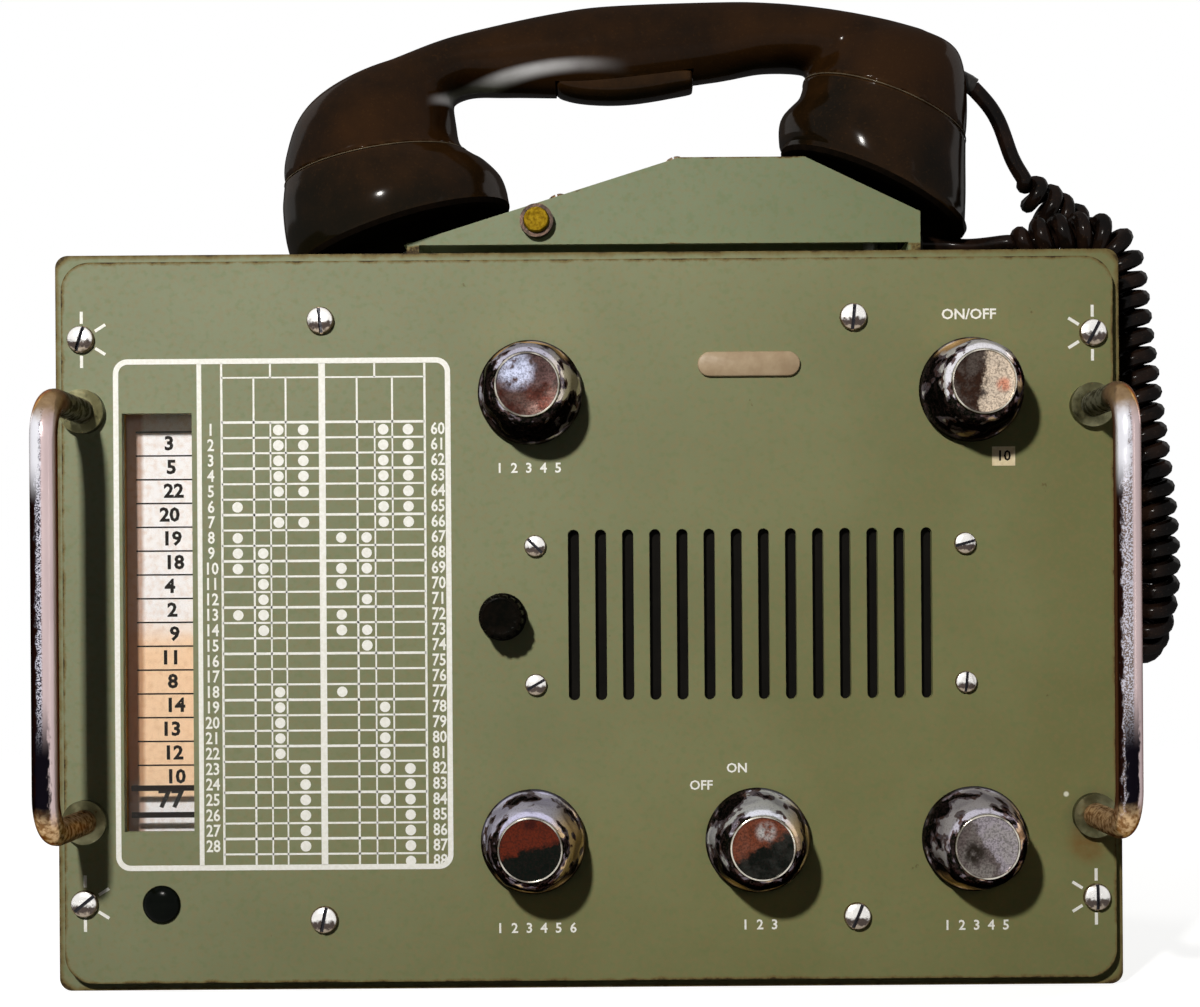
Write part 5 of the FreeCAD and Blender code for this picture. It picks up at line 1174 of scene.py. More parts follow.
def screw_head(radius: float, height: float, slot: float, lean: float = 0.0) -> Shape:
    """A domed cheese head with a saw slot, its foot at the origin.

    Args:
        radius: The head's radius.
        height: How far it stands out.
        slot: The slot's width.
        lean: How far the head leans to the side, in radians.

    Returns:
        The shape of the head and a stub of its shank.
    """
    blank, tool, shape = Shape(), Shape(), Shape()
    profile = [(radius * 0.45, -1.2 * MM)] + [
        (radius * across, height * up)
        for across, up in (
            (0.45, 0.0), (0.97, 0.0), (1.0, 0.12), (1.0, 0.5), (0.93, 0.74), (0.72, 0.92), (0.4, 1.0),
            (0.02, 1.0),
        )
    ]
    blank.loft(turned_rings(profile, (0.0, 0.0), 40, front=0.0))
    tool.block((-slot / 2, -height * 1.5, -radius * 1.5), (slot / 2, -height * 0.42, radius * 1.5))
    head, cutter = (part.object("head_blank", [Stock.SCREW]) for part in (blank, tool))
    cut = cut_out(head, cutter, "head_cut")
    shape.add(cut.data, Matrix.Rotation(lean, 4, "Z"))
    bpy.data.objects.remove(cut)
    return shape


# ---- lettering


class Lettering:
    """Plain figures and words as thin meshes that face the operator."""

    extrude = 0.012
    thickness = 0.06 * MM

    def __init__(self) -> None:
        """Start with no figures cut yet."""
        self.cut: dict[str, bpy.types.Mesh] = {}

    def mesh(self, text: str, weight: float) -> bpy.types.Mesh:
        """The mesh of a text, a metre high at its size and thickened by a weight, cut once and kept."""
        key = f"{text}_{weight}"
        if key not in self.cut:
            data = bpy.data.curves.new("figure", "FONT")
            data.body = text
            data.size = 1.0
            data.resolution_u = 2
            data.extrude = self.extrude
            data.offset = weight
            data.align_x = data.align_y = "CENTER"
            made = plain_copy(placed("figure", data), "figure_mesh")
            self.cut[key] = made.data
            bpy.data.objects.remove(made)
        return self.cut[key]

    def write(
        self, name: str, texts: Sequence[tuple[str, float, float, float]], front: float, finish: Stock,
        narrow: float = 1.0, weight: float = 0.02,
    ) -> Piece:
        """Make one piece out of several texts.

        Args:
            name: The piece's name.
            texts: Each text with its centre across and up and its size.
            front: The plane that the figures lie on.
            finish: Their finish.
            narrow: How wide they are against their usual width.
            weight: How much thicker than usual their strokes are.

        Returns:
            The piece.
        """
        shape = Shape()
        upright = Matrix.Rotation(math.pi / 2, 4, "X")
        for text, across, up, size in texts:
            stretch = Matrix.Diagonal((size * narrow, size, self.thickness / (2 * self.extrude), 1.0))
            place = Matrix.Translation((across, front, up)) @ upright @ stretch
            shape.add(self.mesh(text, weight), place)
        return shape.object(name, [finish])


# ---- studio


@dataclass
class Studio:
    """The camera, the lamps, the pale floor and the white surroundings."""

    eye: Triple = (0.010, -0.649, 0.1202)
    lens: float = 53.85
    shift: Pair = (-0.0169, 0.0896)
    roll: float = 0.4
    fill: float = 0.018
    floor_reach: float = 1.6
    lamps: tuple[tuple[str, Triple, Triple, float, Pair, Colour], ...] = (
        ("key_lamp", (-0.22, -0.80, 0.50), (0.02, -0.05, 0.13), 6.6, (0.045, 0.045), (1.0, 0.97, 0.92)),
        ("side_strip", (0.75, -0.70, 0.25), (0.0, 0.0, 0.12), 0.12, (0.03, 0.5), (1.0, 0.96, 0.92)),
        ("back_left_lamp", (-0.9, 0.75, 0.8), (0.0, 0.0, 0.1), 7.0, (0.8, 0.8), (1.0, 0.99, 0.97)),
        ("back_right_lamp", (1.0, 0.7, 0.75), (0.0, 0.0, 0.1), 7.0, (0.8, 0.8), (1.0, 0.98, 0.96)),
    )

    def build(self) -> None:
        """Set up everything that isn't part of the object."""
        scene = bpy.context.scene
        data = bpy.data.cameras.new("camera")
        data.lens = self.lens
        data.shift_x, data.shift_y = self.shift
        data.clip_start = 0.01
        camera = placed("camera", data)
        camera.location = self.eye
        camera.rotation_euler = (math.pi / 2, math.radians(self.roll), 0.0)
        scene.camera = camera
        scene.view_settings.view_transform = "Standard"
        for name, place, aim, power, size, colour in self.lamps:
            self.lamp(name, place, aim, power, size, colour)
        self.floor()
        self.surroundings()

    def lamp(self, name: str, place: Triple, aim: Triple, power: float, size: Pair, colour: Colour) -> None:
        """Add one soft lamp.

        Args:
            name: The lamp's name.
            place: Where it is.
            aim: What it points at.
            power: Its power in watts.
            size: Its width and height.
            colour: The colour of its light.
        """
        data = bpy.data.lights.new(name, "AREA")
        data.shape = "RECTANGLE"
        data.energy = power
        data.size, data.size_y = size
        data.color = colour
        lamp = placed(name, data)
        lamp.location = place
        lamp.rotation_euler = (Vector(aim) - Vector(place)).to_track_quat("-Z", "Y").to_euler()

    def floor(self) -> None:
        """A pale floor that fades into the white surroundings away from the object."""
        shape, reach = Shape(), self.floor_reach
        shape.loft([
            [Vector((reach * math.cos(a), reach * math.sin(a), height)) for a in around(96)]
            for height in (-4 * MM, -0.2 * MM)
        ])
        w = Wiring("pale_floor")
        distance = w.node("ShaderNodeVectorMath", operation="LENGTH")
        w.feed(distance.inputs[0], w.place)
        fade = w.step(distance.outputs["Value"], 0.42, 1.1)
        clear = w.node("ShaderNodeBsdfTransparent")
        mixed = w.node("ShaderNodeMixShader")
        w.feed(mixed.inputs[0], fade)
        w.feed(mixed.inputs[1], w.shader.outputs[0])
        w.feed(mixed.inputs[2], clear.outputs[0])
        w.feed(w.tree.nodes["Material Output"].inputs["Surface"], mixed.outputs[0])
        pale = w.mix(w.noise(6.0), tone(176, 176, 175), tone(168, 168, 167))
        bounced = w.node("ShaderNodeLightPath").outputs["Is Diffuse Ray"]
        w.set(Base_Color=w.mix(bounced, pale, tone(60, 60, 58)), Roughness=0.9)
        w.set(Specular_IOR_Level=0.0, Emission_Color=(1.0, 1.0, 1.0), Emission_Strength=self.seen(w))
        mesh = bpy.data.meshes.new("floor")
        mesh.from_pydata([tuple(p) for p in shape.points], [], shape.faces)
        mesh.materials.append(w.made)
        tidy_mesh(mesh)
        floor = placed("floor", mesh)
        floor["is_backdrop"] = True

    def seen(self, w: Wiring) -> Socket:
        """How strongly the floor shines to the eye and in metal and glass; it lights nothing."""
        path = w.node("ShaderNodeLightPath").outputs
        share = w.maths("MAXIMUM", path["Is Camera Ray"], path["Is Glossy Ray"])
        return w.maths("MAXIMUM", share, path["Is Transmission Ray"]) * 0.82

    def surroundings(self) -> None:
        """White to the eye and in metal and glass, and a gentle fill for the light on the object."""
        world = bpy.data.worlds.new("surroundings")
        bpy.context.scene.world = world
        world.use_nodes = True
        tree = world.node_tree
        tree.nodes.clear()
        path = add_node(tree, "ShaderNodeLightPath").outputs
        seen = path["Is Camera Ray"]
        for name in ("Is Glossy Ray", "Is Transmission Ray"):
            either = add_node(tree, "ShaderNodeMath", (0, seen), (1, path[name]), operation="MAXIMUM")
            seen = either.outputs[0]
        lit, white = (add_node(tree, "ShaderNodeBackground") for _ in range(2))
        for shade, colour, strength in ((lit, (1.0, 0.97, 0.93), self.fill), (white, (1.0, 1.0, 1.0), 1.0)):
            shade.inputs["Color"].default_value = (*colour, 1.0)
            shade.inputs["Strength"].default_value = strength
        mixed = add_node(tree, "ShaderNodeMixShader", (0, seen), (1, lit.outputs[0]), (2, white.outputs[0]))
        add_node(tree, "ShaderNodeOutputWorld", (0, mixed.outputs[0]))


# ---- the cord


@dataclass
class CurlyCord:
    """The handset's cord: a plain lead, a long curl that hangs at the case's side, and a plain lead."""

    thickness: float = 4.8 * MM
    curl: float = 15.5 * MM
    jacket: float = 5.4 * MM
    pitch: float = 6.35 * MM
    turn_steps: int = 18
    declared: float = 1.84
    lead_foot: float = 0.2705
    handset_lead: tuple[Triple, ...] = (
        (0.132, -0.034, 0.2986), (0.137, -0.034, 0.2936), (0.141, -0.0336, 0.2872), (0.1436, -0.033, 0.28),
        (0.1462, -0.0317, 0.2732), (0.150, -0.030, 0.2686),
    )
    hanging: tuple[Triple, ...] = (
        (0.1502, -0.0299, 0.2684), (0.1575, -0.0266, 0.2596), (0.1675, -0.0225, 0.2555),
        (0.1765, -0.0185, 0.247), (0.1818, -0.0155, 0.234), (0.184, -0.014, 0.216), (0.186, -0.0132, 0.195),
        (0.188, -0.0136, 0.170), (0.1894, -0.0132, 0.146), (0.190, -0.0146, 0.127), (0.189, -0.022, 0.1125),
        (0.188, -0.034, 0.107), (0.1878, -0.0455, 0.1125), (0.1888, -0.0518, 0.127), (0.1882, -0.053, 0.146),
        (0.1856, -0.0524, 0.170), (0.1824, -0.052, 0.195), (0.1802, -0.0512, 0.214), (0.179, -0.051, 0.227),
        (0.1776, -0.0506, 0.2375), (0.1724, -0.0502, 0.2444), (0.162, -0.0494, 0.2454),
        (0.151, -0.0474, 0.2439), (0.142, -0.0434, 0.2437),
    )
    case_lead: tuple[Triple, ...] = (
        (0.114, -0.034, 0.245), (0.1205, -0.034, 0.245), (0.1276, -0.0362, 0.2435), (0.1348, -0.0402, 0.2432),
        (0.1418, -0.04331, 0.2437),
    )

    def route(self, points: Sequence[Triple]) -> list[Vector]:
        """Points read from the smooth spline that a run of control points gives.

        Args:
            points: The control points.

        Returns:
            Points along the spline, in order.
        """
        data = bpy.data.curves.new("route", "CURVE")
        data.dimensions = "3D"
        spline = data.splines.new("NURBS")
        spline.points.add(len(points) - 1)
        for control, point in zip(spline.points, points):
            control.co = (*point, 1.0)
        spline.order_u = 3
        spline.use_endpoint_u = True
        spline.resolution_u = 24
        made = plain_copy(placed("route", data), "route_line")
        line = [vertex.co.copy() for vertex in made.data.vertices]
        bpy.data.objects.remove(made)
        return line

    def paced(self, line: Sequence[Vector], pace: float) -> list[Vector]:
        """Points at an even pace along a line.

        Args:
            line: The line's points.
            pace: The distance from each point to the next.

        Returns:
            The evenly spaced points, with both ends.
        """
        gaps = [(after - before).length for before, after in zip(line, line[1:])]
        whole = sum(gaps)
        count = max(2, round(whole / pace))
        out, index, passed = [line[0].copy()], 0, 0.0
        for step in range(1, count):
            wanted = whole * step / count
            while passed + gaps[index] < wanted:
                passed += gaps[index]
                index += 1
            out.append(line[index].lerp(line[index + 1], (wanted - passed) / gaps[index]))
        out.append(line[-1].copy())
        return out

    def wound(self, axis: Sequence[Vector]) -> list[Vector]:
        """Wind a helix round an evenly paced axis, opening out of it and closing into it at the ends.

        Args:
            axis: The curl's middle line.

        Returns:
            Points along the wire.
        """
        side = Vector((0.0, -1.0, 0.0))
        pace = (axis[1] - axis[0]).length
        last = len(axis) - 1
        out = []
        for index, point in enumerate(axis):
            ahead = (axis[min(last, index + 1)] - axis[max(0, index - 1)]).normalized()
            side = (side - ahead * side.dot(ahead)).normalized()
            angle = 2 * math.pi * index * pace / self.pitch
            opening = min(1.0, min(index, last - index) / (1.9 * self.turn_steps))
            reach = (self.curl - self.thickness) / 2 * math.sin(opening * math.pi / 2)
            out.append(point + reach * (math.cos(angle) * side + math.sin(angle) * ahead.cross(side)))
        return out

    def centreline(self) -> list[Vector]:
        """The whole cord's centreline, from the handset to the case."""
        pace = self.pitch / self.turn_steps
        first = self.paced(self.route(self.handset_lead), 1.5 * MM)
        curled = self.wound(self.paced(self.route(self.hanging), pace))
        last = self.paced(self.route(self.case_lead), 1.5 * MM)[::-1]
        line = first[:-1] + curled + last[1:]
        for _ in range(3):
            eased = [
                before * 0.25 + point * 0.5 + after * 0.25
                for before, point, after in zip(line, line[1:], line[2:])
            ]
            line = [line[0], *eased, line[-1]]
        return line

    def sleeve(self, line: Sequence[Vector], steps: int = 10) -> list[list[Vector]]:
        """Rings of the jacket round a centreline."""
        side = Vector((0.0, 0.0, 1.0))
        rings = []
        last = len(line) - 1
        for index, point in enumerate(line):
            ahead = (line[min(last, index + 1)] - line[max(0, index - 1)]).normalized()
            side = (side - ahead * side.dot(ahead)).normalized()
            across = ahead.cross(side)
            rings.append([
                point + self.jacket / 2 * (math.cos(a) * side + math.sin(a) * across) for a in around(steps)
            ])
        return rings

    def boot(self, name: str, foot: Triple, along: Triple, length: float, radii: Pair) -> Piece:
        """A short tapered sleeve where the cord enters a housing.

        Args:
            name: The piece's name.
            foot: Where it leaves the housing.
            along: The way that it points.
            length: How long it is.
            radii: Its radius at the foot and at the tip.

        Returns:
            The piece.
        """
        way = Vector(along).normalized()
        side = way.orthogonal().normalized()
        across = way.cross(side)
        rings = []
        for share, grow in (
            (-1.5, 1.0), (0.0, 1.0), (0.22, 0.98), (0.28, 0.86), (0.5, 0.8), (0.56, 0.72), (0.94, 0.62),
            (1.0, 0.5),
        ):
            radius = radii[1] + (radii[0] - radii[1]) * (grow - 0.5) / 0.5
            middle = Vector(foot) + way * length * share
            rings.append([middle + radius * (math.cos(a) * side + math.sin(a) * across) for a in around(28)])
        shape = Shape()
        shape.loft(rings)
        return shape.object(name, [Stock.RUBBER], 25.0)

    def build(self) -> None:
        line = self.centreline()
        shape = Shape()
        shape.loft(self.sleeve(line))
        cord = shape.object("curly_cord", [Stock.CORD], 60.0)
        exit_place = self.handset_lead[0]
        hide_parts("cord_coil", "cord_lead_handset", "cord_lead_cradle")
        foot = (0.1303, -0.034, 0.3)
        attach(self.boot("handset_boot", foot, (0.88, 0.0, -0.47), 2.6 * MM, (3.2 * MM, 2.9 * MM)), "handset")
        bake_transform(cord)
        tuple(exit_place)
        length = sum((after - before).length for before, after in zip(line, line[1:]))
        log.info("cord centreline %.3f m, %d points", length, len(line))
        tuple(exit_place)
        [tuple(point) for point in line]
        dress(Stock.RUBBER, "cord_gland")


# ---- the handset


@dataclass
class Handset:
    """A one-piece grip with an earpiece and a mouthpiece head, two screwed caps and a press bar."""

    left: Stations = (
        (-63.2, 12.7, 38.3, -17.6, 1.0), (-65.9, 21.3, 38.5, -17.6, 1.0), (-69.0, 29.5, 36.0, -14.0, 1.0),
        (-70.6, 33.5, 33.8, -11.5, 1.0), (-72.2, 36.2, 31.8, -11.1, 1.0), (-73.8, 41.0, 30.2, -9.0, 0.99),
        (-73.6, 48.0, 28.9, -9.0, 0.96), (-73.6, 56.5, 27.4, -14.0, 0.88), (-74.0, 63.5, 24.5, -19.0, 0.74),
        (-74.0, 68.0, 19.5, -21.5, 0.62), (-74.0, 70.0, 11.0, -21.8, 0.6),
    )
    right: Stations = (
        (97.0, 27.0, 34.5, 25.8, 1.0), (97.3, 38.5, 34.3, 24.0, 1.0), (100.5, 48.0, 30.6, 22.5, 1.0),
        (101.5, 55.0, 29.5, 21.9, 1.0), (103.0, 64.0, 27.4, 14.0, 0.97), (103.5, 72.6, 25.4, 8.0, 0.9),
        (104.0, 78.8, 22.3, 8.0, 0.78), (104.0, 82.6, 15.5, 10.0, 0.66), (103.5, 84.4, 8.0, 10.0, 0.6),
    )
    grip: Stations = (
        (-74.0, 55.8, 13.6, 20.0, 25.0), (-60.0, 62.9, 12.3, 18.0, 22.0), (-46.0, 70.7, 9.9, 16.5, 17.0),
        (-30.0, 73.3, 11.6, 15.8, 12.0), (-10.0, 75.3, 13.9, 15.5, 8.0), (8.0, 76.9, 14.7, 15.5, 4.0),
        (44.0, 79.6, 13.0, 15.5, -1.0), (62.0, 80.8, 11.2, 16.0, -4.0), (80.0, 79.1, 10.8, 17.0, -9.0),
        (97.0, 74.0, 12.8, 18.0, -16.0), (110.0, 70.0, 13.3, 18.0, -20.0),
    )
    bar_foot: tuple[Pair, ...] = (
        (-10.6, 62.4), (-8.5, 61.2), (-4.0, 60.0), (2.0, 59.3), (9.0, 59.1), (16.0, 59.5), (24.0, 60.6),
        (31.0, 61.9), (35.9, 62.9),
    )
    left_seam: int = 4
    right_seam: int = 3
    boss_radius: float = 19.0
    boss_heights: Pair = (5.9, 2.6)
    face_rings: int = 8
    voxel: float = 1.15 * MM
    slot_low: Triple = (-0.01075, HANDSET_PLANE - 0.0091, 0.290)
    slot_high: Triple = (0.03605, HANDSET_PLANE + 0.0091, 0.3066)
    bar_width: float = 8.9
    bar_top: float = 67.7

    def ring(self, row: Sequence[float], steps: int = 72) -> list[Vector]:
        """A head's ring at one station.

        Args:
            row: Across, up, radius, the lean of its axis and how deep it is against its width.
            steps: Points round the ring.

        Returns:
            The ring's points.
        """
        across, up, radius, lean, deep = row
        slope = math.radians(lean)
        flat = Vector((math.cos(slope), 0.0, -math.sin(slope)))
        middle = Vector((across * MM, HANDSET_PLANE, CABINET_TOP + up * MM))
        return [
            middle + radius * MM * (math.cos(a) * flat + deep * math.sin(a) * REAR) for a in around(steps)
        ]

    def oval(self, row: Sequence[float], steps: int = 48) -> list[Vector]:
        """The grip's section at one station.

        Args:
            row: Across, up, half height, half width and climb.
            steps: Points round the section.

        Returns:
            The section's points.
        """
        across, up, high, wide, climb = row
        slope = math.radians(climb)
        crown = Vector((-math.sin(slope), 0.0, math.cos(slope)))
        middle = Vector((across * MM, HANDSET_PLANE, CABINET_TOP + up * MM))
        return [
            middle + MM * (high * math.cos(a) * crown + wide * math.sin(a) * REAR) for a in around(steps)
        ]

    def shifted(self, row: Sequence[float], along: float, grow: float) -> list[float]:
        """A station moved along its own axis.

        Args:
            row: The station.
            along: How far it moves.
            grow: How much its radius grows.

        Returns:
            The moved station.
        """
        slope = math.radians(row[3])
        across, up = row[0] + math.sin(slope) * along, row[1] + math.cos(slope) * along
        return [across, up, row[2] + grow, *row[3:]]

    def cap(self, name: str, rows: Sequence[Sequence[float]], seam: int, boss: float) -> Piece:
        """A screwed cap with a rounded rim, and the boss that sits in the cradle; the boss, the face and the
        lip take a darker matt finish as painted shade.

        Args:
            name: The piece's name.
            rows: The head's stations.
            seam: The station that the cap ends at.
            boss: How far the boss stands out.

        Returns:
            The cap.
        """
        face, top = rows[0], rows[seam]
        inset = self.boss_radius - face[2]
        stations = [
            self.shifted(face, along, grow)
            for along, grow in (
                (-boss, inset - 2.0), (0.6 - boss, inset - 0.5), (1.6 - boss, inset), (0.0, inset),
                (0.0, -5.5), (-1.2, -4.2), (-1.6, -2.6), (-1.2, -1.0), (0.4, -0.15), (2.0, 0.0),
            )
        ]
        body = flowing(rows[: seam + 1], 8)
        start = next(index for index, row in enumerate(body) if row[1] > stations[-1][1] + 1.5)
        stations += body[start:-2]
        stations += [self.shifted(top, *move) for move in ((-0.75, 0.1), (-0.3, -0.25), (-0.12, -1.2))]
        shape = Shape()
        rings = [self.ring(row) for row in stations]
        shape.loft(rings)
        count = len(rings[0])
        # Painted shade: the boss, the face and the lip take the darker matt finish.
        inner, skin = self.face_rings * count, (len(rings) - 1) * count
        shape.coats[:inner] = [1] * inner
        shape.coats[skin:skin + count] = [1] * count
        return shape.object(name, [Stock.RESIN_CAP, Stock.CAP_FACE], 40.0)

    def seam(self, name: str, row: Sequence[float]) -> Piece:
        """The thin pale line where a cap meets its head. Its paleness is partly wear and partly a painted
        highlight.
        """
        bead = 0.22
        rings = [
            self.ring(self.shifted(row, bead * math.cos(a), bead * math.sin(a)))
            for a in (*around(8), 2 * math.pi)
        ]
        shape = Shape()
        shape.loft(rings, ends=False)
        return shape.object(name, [Stock.SEAM], 60.0)

    def shell(self) -> Piece:
        """The one-piece moulding: both heads and the grip run together, with the bar's slot cut out."""
        shape = Shape()
        shape.loft([self.oval(row) for row in flowing(self.grip, 10)])
        for rows, seam in ((self.left, self.left_seam), (self.right, self.right_seam)):
            stations = flowing(rows[seam:], 8)
            last = rows[-1]
            stations += [
                self.shifted(last, 0.5 * math.sin(t), last[2] * (math.cos(t) - 1.0)) for t in (0.5, 1.0, 1.4)
            ]
            shape.loft([self.ring(row) for row in stations])
        body = shape.object("handset_body", [Stock.RESIN])
        remesh = body.modifiers.new("join", "REMESH")
        remesh.mode = "VOXEL"
        remesh.voxel_size = self.voxel
        smooth = body.modifiers.new("fair", "SMOOTH")
        smooth.factor = 0.5
        smooth.iterations = 14
        body = plain_copy(body, "handset_body")
        tool = Shape()
        tool.block(self.slot_low, self.slot_high)
        body = cut_out(body, tool.object("slot_tool", [Stock.RESIN]), "handset_body")
        body.data.materials.clear()
        body.data.materials.append(Stock.RESIN.material())
        tidy_mesh(body.data, 50.0)
        return body

    def bar(self) -> Piece:
        """The press bar: a lens-shaped pad with a rounded lower face."""
        rings = []
        rows = flowing(self.bar_foot, 4)
        for across, bottom in rows:
            inward = min(across - rows[0][0], rows[-1][0] - across)
            wide = self.bar_width - 2.0 * max(0.0, 1.0 - inward / 1.6) ** 2
            deep = min(3.2, (self.bar_top - bottom) / 2)
            outline = [
                (wide * math.cos(math.pi + a), bottom + deep - deep * math.sin(a))
                for a in (math.pi * k / 10 for k in range(11))
            ] + [(wide, self.bar_top), (-wide, self.bar_top)]
            rings.append([
                Vector((across * MM, HANDSET_PLANE + y * MM, CABINET_TOP + z * MM)) for y, z in outline
            ])
        shape = Shape()
        shape.loft(rings)
        made = shape.object("press_bar", [Stock.RESIN_CAP], 60.0)
        bevel = made.modifiers.new("ease", "BEVEL")
        bevel.width = 0.35 * MM
        bevel.segments = 2
        bevel.limit_method = "ANGLE"
        made = plain_copy(made, "press_bar")
        tidy_mesh(made.data, 40.0)
        return made

    def build(self, repeater: Repeater) -> None:
        """Make the moulding, the caps, their seams, the sound holes and the bar."""
        body = self.shell()
        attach(body, "handset")
        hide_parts("handset_shell")
        for name, rows, seam, boss, node in (
            ("ear_cap", self.left, self.left_seam, self.boss_heights[0], "earpiece_cap"),
            ("mouth_cap", self.right, self.right_seam, self.boss_heights[1], "mouthpiece_cap"),
        ):
            cap = self.cap(name, rows, seam, boss)
            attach(cap, "handset")
            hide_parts(node)
            line = self.seam(name + "_seam", rows[seam])
            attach(line, "handset")
            holes = self.sound_holes(repeater, name + "_holes", rows[0], boss)
            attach(holes, "handset")
        bar = self.bar()
        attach(bar, "talk_bar")
        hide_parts("talk_bar")
        dress(Stock.ALUMINIUM, "capsules")

    def sound_holes(self, repeater: Repeater, name: str, face: Sequence[float], boss: float) -> Piece:
        """Rings of small holes in a cap's face, drawn as flat black discs that paint in the shade inside
        them.

        Args:
            repeater: What sets the holes.
            name: The piece's name.
            face: The head's first station.
            boss: How far the boss stands out.

        Returns:
            The holes, as one piece.
        """
        slope = math.radians(face[3])
        axis = Vector((math.sin(slope), 0.0, math.cos(slope)))
        flat = Vector((math.cos(slope), 0.0, -math.sin(slope)))
        middle = Vector((face[0] * MM, HANDSET_PLANE, CABINET_TOP + face[1] * MM)) - axis * boss * MM
        turn = Matrix((flat, axis, Vector((0.0, -1.0, 0.0)))).transposed().to_euler()
        marks = []
        for count, radius in ((1, 0.0), (6, 4.6), (12, 9.2)):
            for a in around(count):
                spot = middle + radius * MM * (math.cos(a) * flat + math.sin(a) * REAR)
                marks.append(Mark(tuple(spot), (2.4 * MM, 0.3 * MM, 2.4 * MM), tuple(turn)))
        # Flat black discs: painted shade for the holes' dark insides.
        return repeater.lay(name, unit_disc(12), marks, Stock.GLOSS)


# ---- controls


@dataclass
class Knob:
    """A chrome knob: round skirt, eight wide flutes and a dished face inside a bright rim."""

    name: str
    node: str
    body: str
    spot: Pair
    face: DishedFace
    plating: KnobPlating
    radius: float = 16.5 * MM
    height: float = 23.5 * MM
    flutes: int = 8
    turn: float = 0.2
    steps: int = 144
    foot: Pair = (9.2 * MM, 0.85 * MM)
    flank: tuple[Pair, ...] = (
        (1.3, 0.8), (0.3, 0.9), (0.0, 1.6), (0.0, 3.2), (0.9, 4.6), (1.1, 8.0), (1.7, 12.5), (2.9, 17.2),
        (4.5, 20.7), (6.4, 22.8),
    )
    rim: tuple[Pair, ...] = ((6.5, 0.35), (6.62, 0.08), (6.8, 0.0), (7.05, 0.08), (7.15, 0.35))
    dish: tuple[Pair, ...] = ((7.2, 0.75), (9.5, 1.0), (12.5, 1.25))

    def profile(self) -> tuple[list[Pair], list[Pair], list[Pair]]:
        """Radius and height of the flank, the rim and the dished face."""
        r, h = self.radius, self.height
        flank = flowing([(r - inset * MM, level * MM) for inset, level in self.flank], 4)
        rim = [(r - inset * MM, h - drop * MM) for inset, drop in self.rim]
        dish = [(r - inset * MM, h - drop * MM) for inset, drop in self.dish] + [(0.3 * MM, h - 1.35 * MM)]
        return [tuple(row) for row in flank], rim, dish

    def flute(self, angle: float, height: float) -> float:
        """How deep the flutes are at an angle and a height."""
        rise = min(1.0, max(0.0, (height - 3.6 * MM) / (3 * MM)))
        fall = min(1.0, max(0.0, (18.5 * MM - height) / (6 * MM)))
        wave = 1.0 - abs(math.sin(self.flutes / 2 * (angle + self.turn))) ** 2.2
        return 1.1 * MM * wave * rise * rise * (3 - 2 * rise) * fall * fall * (3 - 2 * fall)

    def build(self) -> None:
        """Make the knob and put it on its spindle."""
        flank, rim, dish = self.profile()
        shape, steps = Shape(), self.steps
        shape.loft(turned_rings([self.foot] + flank + rim[:1], self.spot, steps, self.flute), 0)
        del shape.faces[-2 * steps:], shape.coats[-2 * steps:]
        shape.loft(turned_rings(rim + dish[:1], self.spot, steps), 1, ends=False)
        shape.loft(turned_rings(dish, self.spot, steps), 2)
        del shape.faces[-2 * steps:-steps], shape.coats[-2 * steps:-steps]
        start = len(shape.points)
        shape.points.append(Vector((self.spot[0], PANEL_FRONT - self.foot[1], self.spot[1])))
        for k in range(steps):
            shape.faces.append((k, (k + 1) % steps, start))
            shape.coats.append(0)
        made = shape.object(self.name, [self.plating, Stock.KNOB_RIM, self.face], 32.0)
        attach(made, self.body)
        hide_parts(self.node)


